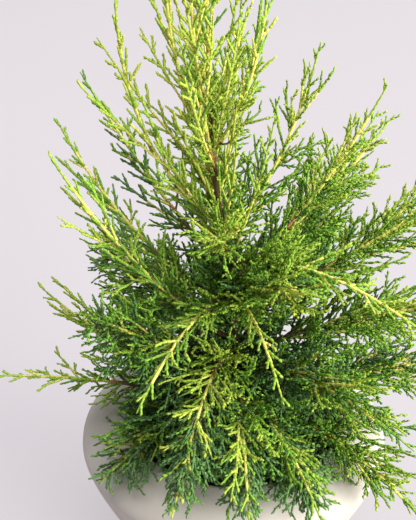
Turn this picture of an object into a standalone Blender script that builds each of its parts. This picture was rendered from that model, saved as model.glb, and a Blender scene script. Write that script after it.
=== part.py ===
"""A young golden spreading juniper in a round-shouldered bowl planter, at its real size.

Metres, +Z up. The origin is the centre of the planter's flat underside, and the plant is seen
from the -Y side. The trunk rises from the compost with a slight lean, and every limb leaves it by
one arching route. The inner share of a route is a woody bough and the rest is the stem of one mass
of foliage. Each mass is grown by the same seeded rule: side twigs spiral round the stem, and a
toothed blade, which stands for a spray of scale leaves, ends the stem and each twig. A mass owns
the part of the crown that is nearer to its own stem than to any other, so no two masses meet.
"""

import math
from collections import namedtuple

import bmesh
import bpy
import numpy as np
from mathutils import Matrix

SEED = 7
GAP = 0.0003

# Planter: a matte bowl that swells just under its mouth and tapers to a flat foot.
POT_HEIGHT = 0.130
MOUTH_RADIUS = 0.085
BELLY_RADIUS = 0.116
BELLY_DEPTH = 0.022
FOOT_RADIUS = 0.058
TAPER_POWER = 1.2
TAPER_RINGS = (0.10, 0.28, 0.52, 0.78)
HOLLOW_RINGS = (0.10, 0.45)
WALL = 0.005
FLOOR = 0.008
LIP_RADIUS = 0.0025
TURN_STEPS = 32

# Compost: a level top a little below the lip, sinking slightly towards the wall.
SOIL_TOP = 0.122
SOIL_DIP = 0.0015
SOIL_LEVEL_RADIUS = 0.035

# Trunk: a root flare on a level cut, a steady taper and a slight lean to the left.
TRUNK_FOOT = SOIL_TOP + GAP
TRUNK_TOP = 0.392
TRUNK_FOOT_RADIUS = 0.0066
TRUNK_TOP_RADIUS = 0.0013
FLARE = 0.70
FLARE_HEIGHT = 0.010
LEAN_X = -0.020
LEAN_Y = 0.010
SWAY = 0.0035
TRUNK_TAPER_POWER = 0.85
TRUNK_POINTS = 13
TRUNK_CROWDING = 1.3
TRUNK_RESOLUTION = 3

# Limbs: the bough is the woody share of a route, and its foot is a share of the trunk's radius.
BOUGH_FOOT_SHARE = 0.44
BOUGH_LEAST_RADIUS = 0.0018
BOUGH_TIP_RADIUS = 0.0015
BOUGH_POINTS = 5

# Foliage: shoots are thicker and fewer than life. Masses that start above GOLDEN_ABOVE are golden.
GOLDEN_ABOVE = 0.235
SEARCH_SAMPLES = 40
STEM_POINTS = 6
STEM_RADIUS = 0.0015
STEM_TIP_RADIUS = 0.0006
TWIG_RADIUS = 0.0009
TWIG_TIP_RADIUS = 0.0006
TWIGS = 7
TWIG_FIRST = 0.08
TWIG_LAST = 0.90
TWIG_ANGLE = 48.0
TWIG_SCATTER = 0.22
LEAST_TWIG = 0.006
TURN = math.radians(137.5)
FLATTEN = 0.65
BEND = 0.45
LIFT = 0.15
SPRAY_SIZES = (1.0, 0.8, 0.62)

# A blade is a flat toothed outline with a raised ridge point on each face.
BLADE_LENGTH = 0.046
BLADE_WIDTH = 0.019
BLADE_THICKNESS = 0.0030
RIDGE_AT = 0.22
BLADE_BEYOND = 1.0 - RIDGE_AT
TIP_BLADE_SCALE = 0.8
TOOTH_TIPS = ((0.50, 0.50), (0.83, 0.34))
TOOTH_NOTCHES = ((0.43, 0.14), (0.70, 0.08))

# One row for each limb: foot is its height on the trunk, azimuth turns from +X towards +Y, reach
# and tip are the run out from the trunk and the height of its furthest shoot, rise is the angle
# at which it leaves, wood is the share that is bough, and spread is its longest side twig.
Limb = namedtuple("Limb", "name foot azimuth reach tip rise wood spread")
LIMBS = (
    Limb("left_low", 0.140, 180, 0.182, 0.160, 14, 0.46, 0.034),
    Limb("left_rise", 0.152, 170, 0.148, 0.226, 6, 0.42, 0.026),
    Limb("left_mid", 0.196, 192, 0.122, 0.362, 42, 0.36, 0.026),
    Limb("left_high", 0.226, 160, 0.132, 0.352, 22, 0.34, 0.028),
    Limb("left_back", 0.252, 144, 0.134, 0.372, 34, 0.32, 0.032),
    Limb("left_top", 0.290, 186, 0.066, 0.476, 42, 0.00, 0.032),
    Limb("top_left", 0.318, 165, 0.036, 0.486, 66, 0.00, 0.032),
    Limb("top_front", 0.334, 240, 0.030, 0.512, 70, 0.00, 0.032),
    Limb("leader", TRUNK_TOP, 95, 0.010, 0.498, 86, 0.00, 0.032),
    Limb("top_right", 0.346, 335, 0.036, 0.474, 58, 0.00, 0.032),
    Limb("top_back", 0.304, 78, 0.060, 0.446, 52, 0.00, 0.034),
    Limb("right_top", 0.276, 30, 0.070, 0.414, 48, 0.00, 0.036),
    Limb("right_high", 0.246, 18, 0.108, 0.386, 40, 0.30, 0.038),
    Limb("right_back", 0.222, 42, 0.160, 0.330, 34, 0.34, 0.052),
    Limb("right_upper", 0.210, 6, 0.168, 0.318, 38, 0.34, 0.052),
    Limb("right_mid", 0.184, 348, 0.176, 0.262, 34, 0.36, 0.052),
    Limb("right_arch", 0.262, 327, 0.158, 0.262, 30, 0.30, 0.036),
    Limb("right_low", 0.146, 0, 0.182, 0.172, 22, 0.42, 0.050),
    Limb("right_front", 0.170, 318, 0.160, 0.190, 38, 0.34, 0.050),
    Limb("right_hang", 0.138, 325, 0.166, 0.112, 26, 0.44, 0.046),
    Limb("front_right", 0.150, 296, 0.138, 0.140, 38, 0.40, 0.046),
    Limb("front_centre", 0.160, 275, 0.134, 0.146, 42, 0.38, 0.044),
    Limb("front_left", 0.190, 253, 0.134, 0.146, 36, 0.36, 0.044),
    Limb("front_hang", 0.144, 222, 0.126, 0.132, 34, 0.42, 0.044),
    Limb("front_arch", 0.232, 288, 0.112, 0.226, 42, 0.00, 0.024),
    Limb("front_drape", 0.236, 240, 0.120, 0.214, 26, 0.30, 0.022),
    Limb("left_front", 0.172, 206, 0.112, 0.254, 34, 0.34, 0.046),
    Limb("front_upper", 0.272, 262, 0.078, 0.330, 46, 0.00, 0.046),
    Limb("right_inner", 0.238, 306, 0.104, 0.292, 40, 0.00, 0.046),
    Limb("back_left", 0.166, 136, 0.158, 0.214, 30, 0.38, 0.052),
    Limb("back_low", 0.156, 96, 0.164, 0.178, 30, 0.40, 0.052),
    Limb("back_right", 0.176, 60, 0.164, 0.224, 32, 0.38, 0.052),
    Limb("back_high", 0.236, 104, 0.124, 0.330, 40, 0.00, 0.052),
)


def pot_radius(z):
    """Outer radius of the planter at height z."""
    belly = POT_HEIGHT - BELLY_DEPTH
    if z >= belly:
        drop = BELLY_DEPTH / math.sqrt(1.0 - (MOUTH_RADIUS / BELLY_RADIUS) ** 2)
        return BELLY_RADIUS * math.sqrt(max(0.0, 1.0 - ((z - belly) / drop) ** 2))
    share = (belly - z) / belly
    return FOOT_RADIUS + (BELLY_RADIUS - FOOT_RADIUS) * (1.0 - share**TAPER_POWER) ** (1.0 / TAPER_POWER)


def inner_radius(z):
    """Radius of the planter's hollow at height z."""
    return pot_radius(z) - WALL


def trunk_point(z):
    """Centre of the trunk at height z. It leaves the compost upright, so its foot is cut level."""
    share = (z - TRUNK_FOOT) / (TRUNK_TOP - TRUNK_FOOT)
    sway = SWAY * math.sin(2.0 * math.pi * share) * share
    return np.array([LEAN_X * share**2 + sway, LEAN_Y * share**2 - sway, z])


def trunk_radius(z):
    """Radius of the trunk at height z, with the root flare at its foot."""
    share = (z - TRUNK_FOOT) / (TRUNK_TOP - TRUNK_FOOT)
    steady = TRUNK_FOOT_RADIUS + (TRUNK_TOP_RADIUS - TRUNK_FOOT_RADIUS) * share**TRUNK_TAPER_POWER
    return steady * (1.0 + FLARE * math.exp(-(z - TRUNK_FOOT) / FLARE_HEIGHT))


def route(limb, share):
    """Point at this share of a limb's way from the trunk's centre to its furthest tip."""
    azimuth, rise = math.radians(limb.azimuth), math.radians(limb.rise)
    out = np.array([math.cos(azimuth), math.sin(azimuth), 0.0])
    start = trunk_point(limb.foot)
    end = start + out * limb.reach
    end[2] = limb.tip
    lead = 0.5 * np.linalg.norm(end - start)
    knee = start + lead * (out * math.cos(rise) + np.array([0.0, 0.0, math.sin(rise)]))
    return (1 - share) ** 2 * start + 2 * share * (1 - share) * knee + share**2 * end


def route_points(limb, first, last, count):
    return np.array([route(limb, share) for share in np.linspace(first, last, count)])


def bough_radii(limb, count):
    foot = max(BOUGH_LEAST_RADIUS, BOUGH_FOOT_SHARE * trunk_radius(limb.foot))
    return np.linspace(foot, BOUGH_TIP_RADIUS, count)


def stem_start(limb):
    """Share of the route at which the foliage stem begins, a gap past the bough or trunk tip."""
    if limb.wood == 0.0 and limb.foot < TRUNK_TOP:
        return 0.0
    step = 0.001
    ahead = np.linalg.norm(route(limb, limb.wood + step) - route(limb, limb.wood))
    return limb.wood + step * GAP / ahead


def plume(share):
    """Side twig length along a stem, as a share of the longest: full low down, short at the tip."""
    return min(1.0, 0.45 + 2.4 * share) * (1.0 - share) ** 0.7 + 0.12


class Crown:
    """Who owns each place in the crown: the nearest stem, clear of limbs, planter and floor."""

    def __init__(self):
        samples = SEARCH_SAMPLES
        stems = [route_points(limb, stem_start(limb), 1.0, samples) for limb in LIMBS]
        self.stems = np.concatenate(stems)
        self.owners = np.repeat(np.arange(len(LIMBS)), samples)
        heights = np.linspace(TRUNK_FOOT, TRUNK_TOP, 4 * samples)
        places = [trunk_point(z) for z in heights]
        radii = [trunk_radius(z) for z in heights]
        for limb in LIMBS:
            if limb.wood:
                places += list(route_points(limb, 0.0, limb.wood, samples))
                radii += list(bough_radii(limb, samples))
        self.limbs = np.array(places)
        self.limb_radii = np.array(radii)

    def clear_of_planter(self, point, room):
        """True outside the planter's wall, over its lip, or in its mouth above the compost."""
        radius = math.hypot(point[0], point[1])
        if point[2] < room:
            return False
        if point[2] > POT_HEIGHT + room:
            return True
        if radius > pot_radius(point[2]) + room:
            return True
        return point[2] > SOIL_TOP + room and radius < MOUTH_RADIUS - WALL - room

    def allows(self, point, owner, radius):
        """True where a shoot of this radius stays in its owner's space and touches nothing else."""
        away = np.linalg.norm(self.stems - point, axis=1)
        own = away[self.owners == owner].min()
        other = away[self.owners != owner].min()
        room = radius + 2.0 * GAP
        if other - own < 2.0 * room:
            return False
        if (np.linalg.norm(self.limbs - point, axis=1) < self.limb_radii + 2.0 * room).any():
            return False
        return self.clear_of_planter(point, 2.0 * room)


def blade_outline():
    """A blade's rim as shares of its length and width: root, one edge, tip, and back."""
    edge = [corner for pair in zip(TOOTH_TIPS, TOOTH_NOTCHES) for corner in pair]
    left = [(along, -across) for along, across in edge]
    return [(0.0, 0.0)] + left + [(1.0, 0.0)] + edge[::-1]


def side_direction(along, turn, angle):
    """Direction of a shoot that leaves a stem at this angle, turned round it but flattened."""
    side = np.cross(along, [0.0, 0.0, 1.0])
    if np.linalg.norm(side) < 0.2:
        side = np.cross(along, [0.0, 1.0, 0.0])
    side = side / np.linalg.norm(side)
    top = np.cross(side, along)
    across = math.cos(turn) * side + FLATTEN * math.sin(turn) * top
    across = across / np.linalg.norm(across)
    return math.cos(math.radians(angle)) * along + math.sin(math.radians(angle)) * across


def unit(vector):
    return vector / np.linalg.norm(vector)


def blade_frame(root, direction):
    """Matrix rows that lay a blade along this direction, its flat faces turned up and down."""
    side = np.cross([0.0, 0.0, 1.0], direction)
    if np.linalg.norm(side) < 0.2:
        side = np.cross([0.0, 1.0, 0.0], direction)
    side = unit(side)
    return np.column_stack([direction, side, np.cross(direction, side), root])


def side_spray(foot, along, turn, angle, reach, size):
    """A straight side twig and the blade that ends it: twig ends, blade frame and blade scale."""
    leave = unit(side_direction(along, turn, angle) + np.array([0.0, 0.0, LIFT]))
    blade_scale = min(size, reach * size / BLADE_LENGTH)
    bare = max(LEAST_TWIG, reach * size - BLADE_BEYOND * BLADE_LENGTH * blade_scale)
    end = foot + leave * bare
    run = unit(leave + BEND * along)
    root = end - run * RIDGE_AT * BLADE_LENGTH * blade_scale
    return np.array([foot, end]), blade_frame(root, run), blade_scale


def blade_corners(frame, scale):
    """Where the tip and the teeth of a placed blade are."""
    flat = [(along * BLADE_LENGTH, across * BLADE_WIDTH, 0.0) for along, across in blade_outline()[1:]]
    return np.array(flat) * scale @ frame[:, :3].T + frame[:, 3]


def grow_mass(crown, index, limb):
    """Stem, side twigs and blades of one mass. A side spray that would leave the mass's space, or
    touch a limb or the planter, is tried smaller, and then skipped."""
    rng = np.random.default_rng([SEED, index])
    first = stem_start(limb)
    length = np.linalg.norm(route(limb, 1.0) - route(limb, first))
    tip_blade = TIP_BLADE_SCALE * BLADE_LENGTH
    last = 1.0 - (1.0 - first) * BLADE_BEYOND * tip_blade / length
    stem = route_points(limb, first, last, STEM_POINTS)
    twigs, blades = [], []
    turn = rng.uniform(0.0, math.tau)
    for share in np.linspace(TWIG_FIRST, TWIG_LAST, TWIGS):
        turn += TURN
        angle = TWIG_ANGLE * (1.0 + TWIG_SCATTER * rng.uniform(-1.0, 1.0))
        reach = limb.spread * plume(share) * (1.0 + TWIG_SCATTER * rng.uniform(-1.0, 1.0))
        place = first + (last - first) * share
        foot = route(limb, place)
        along = unit(route(limb, place + 0.01) - route(limb, place - 0.01))
        for size in SPRAY_SIZES:
            twig, frame, scale = side_spray(foot, along, turn, angle, reach, size)
            outer = [twig[0] + (twig[1] - twig[0]) * part for part in (0.4, 0.7, 1.0)]
            tests = np.concatenate([outer, blade_corners(frame, scale)])
            if all(crown.allows(point, index, TWIG_RADIUS) for point in tests):
                twigs.append(twig)
                blades.append((frame, scale))
                break
    run = unit(stem[-1] - stem[-2])
    blades.append((blade_frame(stem[-1] - run * RIDGE_AT * tip_blade, run), TIP_BLADE_SCALE))
    return stem, twigs, blades


def linear(hex_code):
    """Linear RGBA of an sRGB hex colour."""
    parts = [int(hex_code[i : i + 2], 16) / 255.0 for i in (1, 3, 5)]
    return [c / 12.92 if c <= 0.04045 else ((c + 0.055) / 1.055) ** 2.4 for c in parts] + [1.0]


def material(name, hex_code, roughness):
    made = bpy.data.materials.new(name)
    made.use_nodes = True
    shader = made.node_tree.nodes["Principled BSDF"]
    shader.inputs["Base Color"].default_value = linear(hex_code)
    shader.inputs["Roughness"].default_value = roughness
    shader.inputs["Metallic"].default_value = 0.0
    made.diffuse_color = linear(hex_code)
    return made


def add_object(name, data, collection, parent=None):
    made = bpy.data.objects.new(name, data)
    made.parent = parent
    collection.objects.link(made)
    return made


def hide(helper):
    helper.hide_render = True
    helper.display_type = "WIRE"


def turned(name, profile, collection, parent, finish):
    """A solid of revolution from (radius, height) pairs that run down its outer side."""
    mesh = bpy.data.meshes.new(name)
    edges = [(i, i + 1) for i in range(len(profile) - 1)]
    mesh.from_pydata([(radius, 0.0, z) for radius, z in profile], edges, [])
    mesh.materials.append(finish)
    made = add_object(name, mesh, collection, parent)
    screw = made.modifiers.new("turn", "SCREW")
    screw.axis = "Z"
    screw.steps = screw.render_steps = TURN_STEPS
    screw.use_merge_vertices = True
    screw.merge_threshold = 0.00001
    screw.use_smooth_shade = True
    return made


def wall_heights(tapers):
    """Heights of a wall's rings, from the lip down the rounded shoulder and then the taper."""
    belly = POT_HEIGHT - BELLY_DEPTH
    shoulder = [POT_HEIGHT - BELLY_DEPTH * share for share in (0.14, 0.38, 0.70, 1.0)]
    return shoulder + [belly * (1.0 - share) for share in tapers]


def pot_profile():
    """From the middle of the floor up the inside, over the lip, and down to the flat foot."""
    heights = wall_heights(TAPER_RINGS)
    lip = (MOUTH_RADIUS - LIP_RADIUS, POT_HEIGHT - LIP_RADIUS)
    turns = [math.radians(angle) for angle in (180, 135, 90, 45)]
    inside = [(inner_radius(z), z) for z in reversed(wall_heights(HOLLOW_RINGS))]
    rolled = [(lip[0] + LIP_RADIUS * math.cos(turn), lip[1] + LIP_RADIUS * math.sin(turn)) for turn in turns]
    outside = [(pot_radius(z), z) for z in heights]
    ends = [(0.0, FLOOR), (inner_radius(FLOOR), FLOOR)]
    return ends + inside + rolled + outside + [(FOOT_RADIUS, 0.0), (0.0, 0.0)]


def soil_profile():
    """From the middle of the level top out to the wall, and down it to the planter's floor."""
    edge = SOIL_TOP - SOIL_DIP
    heights = [edge] + [z for z in wall_heights(HOLLOW_RINGS) if z < edge] + [FLOOR + GAP]
    side = [(inner_radius(z) - 2.0 * GAP, z) for z in heights]
    middle = [(0.0, SOIL_TOP), (SOIL_LEVEL_RADIUS, SOIL_TOP)]
    return middle + side + [(0.0, FLOOR + GAP)]


def curve(name, points, radii, collection, parent=None, section=None, resolution=1):
    """A tapering limb along these points: round, or with the section's own outline."""
    data = bpy.data.curves.new(name, "CURVE")
    data.dimensions = "3D"
    data.use_fill_caps = True
    if section:
        data.bevel_mode = "OBJECT"
        data.bevel_object = section
    else:
        data.bevel_depth = 1.0
        data.bevel_resolution = resolution
    spline = data.splines.new("POLY")
    spline.points.add(len(points) - 1)
    for knot, point, radius in zip(spline.points, points, radii):
        knot.co = (*point, 1.0)
        knot.radius = radius
    return add_object(name, data, collection, parent)


def welded_mesh(source, graph):
    """A closed mesh of a curve object, its caps welded to its sides and its faces turned out."""
    mesh = bpy.data.meshes.new_from_object(source.evaluated_get(graph))
    work = bmesh.new()
    work.from_mesh(mesh)
    bmesh.ops.remove_doubles(work, verts=work.verts, dist=0.00001)
    bmesh.ops.recalc_face_normals(work, faces=work.faces)
    work.to_mesh(mesh)
    work.free()
    return mesh


def as_meshes(sources):
    """Puts a mesh object in the place of each curve object, all under its old name."""
    bpy.context.view_layer.update()
    graph = bpy.context.evaluated_depsgraph_get()
    meshes = [welded_mesh(source, graph) for source in sources]
    made = []
    for source, mesh in zip(sources, meshes):
        name, collection, parent = source.name, source.users_collection[0], source.parent
        old = source.data
        bpy.data.objects.remove(source)
        bpy.data.curves.remove(old)
        mesh.name = name
        made.append(add_object(name, mesh, collection, parent))
    return made


def boolean(target, operation, cutter=None, collection=None):
    change = target.modifiers.new(operation.lower(), "BOOLEAN")
    change.operation = operation
    change.solver = "EXACT"
    if collection:
        change.operand_type = "COLLECTION"
        change.collection = collection
    else:
        change.object = cutter


def biggest_body(mesh):
    """Leaves only the largest closed body: loose scraps go, and sealed hollows are filled."""
    work = bmesh.new()
    work.from_mesh(mesh)
    unseen = set(work.verts)
    bodies = []
    while unseen:
        front = [unseen.pop()]
        body = set(front)
        while front:
            for edge in front.pop().link_edges:
                for vert in edge.verts:
                    if vert in unseen:
                        unseen.discard(vert)
                        body.add(vert)
                        front.append(vert)
        bodies.append(body)
    keep = max(bodies, key=len)
    bmesh.ops.delete(work, geom=[v for v in work.verts if v not in keep], context="VERTS")
    bmesh.ops.triangulate(work, faces=work.faces)
    bmesh.ops.dissolve_degenerate(work, edges=work.edges, dist=0.000005)
    sound = all(edge.is_manifold for edge in work.edges) and len(keep) > 0
    work.to_mesh(mesh)
    work.free()
    return sound


def blade_mesh():
    """A toothed blade that lies along X from its root, with a ridge point above and below."""
    rim = [(along * BLADE_LENGTH, across * BLADE_WIDTH, 0.0) for along, across in blade_outline()]
    ridge = [(RIDGE_AT * BLADE_LENGTH, 0.0, side * BLADE_THICKNESS / 2.0) for side in (1, -1)]
    count = len(rim)
    upper = [(i, (i + 1) % count, count) for i in range(count)]
    lower = [((i + 1) % count, i, count + 1) for i in range(count)]
    mesh = bpy.data.meshes.new("blade")
    mesh.from_pydata(rim + ridge, [], upper + lower)
    return mesh


def twig_section(helpers):
    """The three-sided outline that stems and twigs are swept with, one unit in radius."""
    data = bpy.data.curves.new("twig_section", "CURVE")
    spline = data.splines.new("POLY")
    spline.points.add(2)
    for number, knot in enumerate(spline.points):
        turn = number * math.tau / 3.0
        knot.co = (math.cos(turn), math.sin(turn), 0.0, 1.0)
    spline.use_cyclic_u = True
    section = add_object("twig_section", data, helpers)
    hide(section)
    return section


def lay_out_mass(crown, index, limb, collection, parent, pieces, section, blade):
    """The loose pieces of one mass: its stem and twigs as curves, which it returns, and blades."""
    stem, twigs, blades = grow_mass(crown, index, limb)
    name = "foliage_" + limb.name
    radii = np.linspace(STEM_RADIUS, STEM_TIP_RADIUS, STEM_POINTS)
    curves = [curve(name, stem, radii, collection, parent, section)]
    for number, points in enumerate(twigs):
        ends = (TWIG_RADIUS, TWIG_TIP_RADIUS)
        curves.append(curve(f"{name}_twig_{number}", points, ends, pieces, None, section))
    for number, (frame, scale) in enumerate(blades):
        placed = add_object(f"{name}_blade_{number}", blade, pieces)
        placed.matrix_world = Matrix([*map(tuple, frame), (0, 0, 0, 1)]) @ Matrix.Scale(scale, 4)
    return curves


def fuse_mass(stem, pieces, finish):
    """Puts the union of the stem and its pieces in the stem's place, and removes the pieces."""
    for solver in ("EXACT", "MANIFOLD"):
        stem.modifiers["union"].solver = solver
        bpy.context.view_layer.update()
        graph = bpy.context.evaluated_depsgraph_get()
        mesh = bpy.data.meshes.new_from_object(stem.evaluated_get(graph))
        if biggest_body(mesh):
            break
    old = stem.data
    stem.modifiers.clear()
    stem.data = mesh
    bpy.data.meshes.remove(old)
    mesh.name = stem.name
    mesh.materials.clear()
    mesh.materials.append(finish)
    for piece in list(pieces.objects):
        bpy.data.objects.remove(piece)
    bpy.data.collections.remove(pieces)


def build_masses(collection, helpers, parent, cutter, green, golden):
    """Grows every mass of foliage and fuses each into one solid."""
    crown = Crown()
    section = twig_section(helpers)
    blade = blade_mesh()
    groups, curves = [], []
    for index, limb in enumerate(LIMBS):
        pieces = bpy.data.collections.new(limb.name + "_pieces")
        helpers.children.link(pieces)
        groups.append(pieces)
        curves += lay_out_mass(crown, index, limb, collection, parent, pieces, section, blade)
    as_meshes(curves)
    stems = [bpy.data.objects["foliage_" + limb.name] for limb in LIMBS]
    for limb, stem, pieces in zip(LIMBS, stems, groups):
        boolean(stem, "UNION", collection=pieces)
        if limb.wood == 0.0 and limb.foot < TRUNK_TOP:
            boolean(stem, "DIFFERENCE", cutter=cutter)
    for limb, stem, pieces in zip(LIMBS, stems, groups):
        fuse_mass(stem, pieces, golden if limb.foot > GOLDEN_ABOVE else green)


def build_limbs(collection, helpers, parent, finish):
    """The trunk and its boughs, each bough cut to sit against the trunk. Returns the cutter."""
    shares = np.linspace(0.0, 1.0, TRUNK_POINTS) ** TRUNK_CROWDING
    heights = TRUNK_FOOT + shares * (TRUNK_TOP - TRUNK_FOOT)
    centres = [trunk_point(z) for z in heights]
    radii = np.array([trunk_radius(z) for z in heights])
    trunk = curve("trunk", centres, radii, collection, parent, resolution=TRUNK_RESOLUTION)
    trunk.data.materials.append(finish)
    swollen = curve("trunk_clearance", centres, radii + GAP, helpers, resolution=TRUNK_RESOLUTION)
    boughs = []
    for limb in LIMBS:
        if limb.wood:
            points = route_points(limb, 0.0, limb.wood, BOUGH_POINTS)
            radii = bough_radii(limb, BOUGH_POINTS)
            boughs.append(curve("bough_" + limb.name, points, radii, collection, parent))
    cutter, *boughs = as_meshes([swollen] + boughs)
    hide(cutter)
    for bough in boughs:
        bough.data.materials.append(finish)
        bough.data.shade_smooth()
        boolean(bough, "DIFFERENCE", cutter=cutter)
    return cutter


def main():
    for old in list(bpy.data.objects):
        bpy.data.objects.remove(old)
    collection = bpy.data.collections.new("potted_juniper")
    helpers = bpy.data.collections.new("helpers")
    for group in (collection, helpers):
        bpy.context.scene.collection.children.link(group)
    planter = add_object("planter_group", None, collection)
    plant = add_object("plant_group", None, collection)

    glaze = material("matte_white_clay", "#DCD8D2", 0.62)
    compost = material("bark_compost", "#2B2420", 0.95)
    bark = material("young_bark", "#8A5A34", 0.80)
    green = material("green_scale_leaf", "#5C8A34", 0.65)
    golden = material("golden_scale_leaf", "#A8BE4A", 0.60)

    turned("pot", pot_profile(), collection, planter, glaze)
    turned("soil", soil_profile(), collection, planter, compost)
    cutter = build_limbs(collection, helpers, plant, bark)
    build_masses(collection, helpers, plant, cutter, green, golden)


main()
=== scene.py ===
"""Looks of a golden spreading juniper in a matte bowl planter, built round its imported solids.

Metres, +Z up, the origin under the middle of the planter, and the front faces -Y. The plant grows
by the rule of the solids: the same trunk, the same routes for the limbs and, for each mass, the
same seeded side twigs round its stem. From there it is carried on to leaders, side twigs,
branchlets and the scale-leaf tips that the real shrub has. Every shoot is a short curve with a row
of scale leaves swept along it, and shoots of one tint are joined into one piece.
"""

import logging
import math
from dataclasses import dataclass, field
from enum import Enum
from typing import Any

import bpy
import numpy as np
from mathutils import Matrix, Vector, noise


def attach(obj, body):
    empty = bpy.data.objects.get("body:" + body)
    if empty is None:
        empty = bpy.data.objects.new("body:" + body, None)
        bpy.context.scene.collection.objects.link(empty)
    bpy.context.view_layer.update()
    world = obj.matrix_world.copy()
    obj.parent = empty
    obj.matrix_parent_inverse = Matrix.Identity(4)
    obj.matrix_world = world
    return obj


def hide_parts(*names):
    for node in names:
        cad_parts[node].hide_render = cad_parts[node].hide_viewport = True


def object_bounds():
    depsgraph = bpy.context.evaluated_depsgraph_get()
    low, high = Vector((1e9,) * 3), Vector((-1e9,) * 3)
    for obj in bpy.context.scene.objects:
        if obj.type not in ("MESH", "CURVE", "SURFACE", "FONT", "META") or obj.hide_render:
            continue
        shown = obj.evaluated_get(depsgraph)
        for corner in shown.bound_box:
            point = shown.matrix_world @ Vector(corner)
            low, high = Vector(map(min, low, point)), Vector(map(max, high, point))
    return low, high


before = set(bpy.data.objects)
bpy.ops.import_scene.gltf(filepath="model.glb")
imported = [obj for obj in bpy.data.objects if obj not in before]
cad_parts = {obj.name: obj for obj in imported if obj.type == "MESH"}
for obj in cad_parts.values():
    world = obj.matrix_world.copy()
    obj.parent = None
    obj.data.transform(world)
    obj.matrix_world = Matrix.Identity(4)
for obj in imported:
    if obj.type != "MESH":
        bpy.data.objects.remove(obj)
CAD_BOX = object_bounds()

Array = np.ndarray
LOG = logging.getLogger("juniper")
SEED = 7
# Room between two solids that don't touch.
GAP = 0.0003
GOLDEN_ANGLE = math.radians(137.5)
# A direction is steep where the sine of its angle from the vertical is under this.
STEEP = 0.2
# Height of the compost's top.
SOIL_TOP = 0.122
MILLIMETRE = 0.001
# A bigger piece than this is cut in two or more.
PIECE_TRIANGLES = 190_000


def linear(code: str) -> tuple[float, float, float, float]:
    """Turns an sRGB hex colour into linear RGBA.

    Args:
        code: The colour as a hash sign and six digits.

    Returns:
        Red, green, blue and an alpha of one.
    """
    parts = [int(code[i : i + 2], 16) / 255.0 for i in (1, 3, 5)]
    red, green, blue = (c / 12.92 if c <= 0.04045 else ((c + 0.055) / 1.055) ** 2.4 for c in parts)
    return red, green, blue, 1.0


def unit(vectors: Array) -> Array:
    """Scales vectors to length one.

    Args:
        vectors: Any array whose last axis holds x, y and z.

    Returns:
        An array of the same shape.
    """
    return vectors / np.maximum(np.linalg.norm(vectors, axis=-1, keepdims=True), 1e-12)


def bezier(controls: Array, share: Array) -> Array:
    """Points on quadratic curves.

    Args:
        controls: Control points, shaped (..., 3, 3).
        share: How far along each curve, shaped (...).

    Returns:
        Points shaped (..., 3).
    """
    s = np.asarray(share)[..., None]
    first, knee, last = controls[..., 0, :], controls[..., 1, :], controls[..., 2, :]
    return (1 - s) ** 2 * first + 2 * s * (1 - s) * knee + s**2 * last


def heading(controls: Array, share: Array) -> Array:
    """Directions of quadratic curves.

    Args:
        controls: Control points, shaped (..., 3, 3).
        share: How far along each curve, shaped (...).

    Returns:
        Unit vectors shaped (..., 3).
    """
    s = np.asarray(share)[..., None]
    first, knee, last = controls[..., 0, :], controls[..., 1, :], controls[..., 2, :]
    return unit((1 - s) * (knee - first) + s * (last - knee))


def stretch(controls: Array, first: Array, last: Array) -> Array:
    """Control points of the part of each curve between two shares.

    Args:
        controls: Control points, shaped (n, 3, 3).
        first: Share at which each part begins, shaped (n,).
        last: Share at which each part ends, shaped (n,).

    Returns:
        Control points shaped (n, 3, 3).
    """
    a, b = np.asarray(first)[:, None], np.asarray(last)[:, None]
    start, knee, end = controls[:, 0], controls[:, 1], controls[:, 2]
    middle = (1 - a) * (1 - b) * start + ((1 - a) * b + a * (1 - b)) * knee + a * b * end
    return np.stack([bezier(controls, a[:, 0]), middle, bezier(controls, b[:, 0])], axis=1)


def add_node(tree: bpy.types.NodeTree, kind: str, settings: dict[str, Any] | None = None,
             links: dict[str | int, Any] | None = None) -> bpy.types.Node:
    """Adds one node to a material.

    Args:
        tree: The node tree that it goes in.
        kind: The node's type, such as ShaderNodeTexNoise.
        settings: Values by name. A name that is an input's sets that input, any other a property.
        links: What feeds an input, by the input's name or number: a socket, or a node, which
            stands for the first output that it shows.

    Returns:
        The new node.
    """
    node = tree.nodes.new(kind)
    values = dict(settings or {})
    for key in [k for k in values if k not in node.inputs]:
        setattr(node, key, values.pop(key))
    shown = [socket for socket in node.inputs if socket.enabled]
    names = {socket.name: socket for socket in reversed(shown)}
    for key, value in values.items():
        names[key].default_value = value
    for key, source in (links or {}).items():
        if isinstance(source, bpy.types.Node):
            source = next(socket for socket in source.outputs if socket.enabled)
        tree.links.new(source, shown[key] if isinstance(key, int) else names[key])
    return node


def blank_material(name: str) -> tuple[bpy.types.Material, bpy.types.NodeTree, bpy.types.NodeSocket]:
    """Starts a node material.

    Args:
        name: The finish, named after the real material.

    Returns:
        The material, its cleared node tree, and the place of each point in metres.
    """
    material = bpy.data.materials.new(name)
    material.use_nodes = True
    tree = material.node_tree
    tree.nodes.clear()
    place = add_node(tree, "ShaderNodeTexCoord").outputs["Object"]
    return material, tree, place


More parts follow.
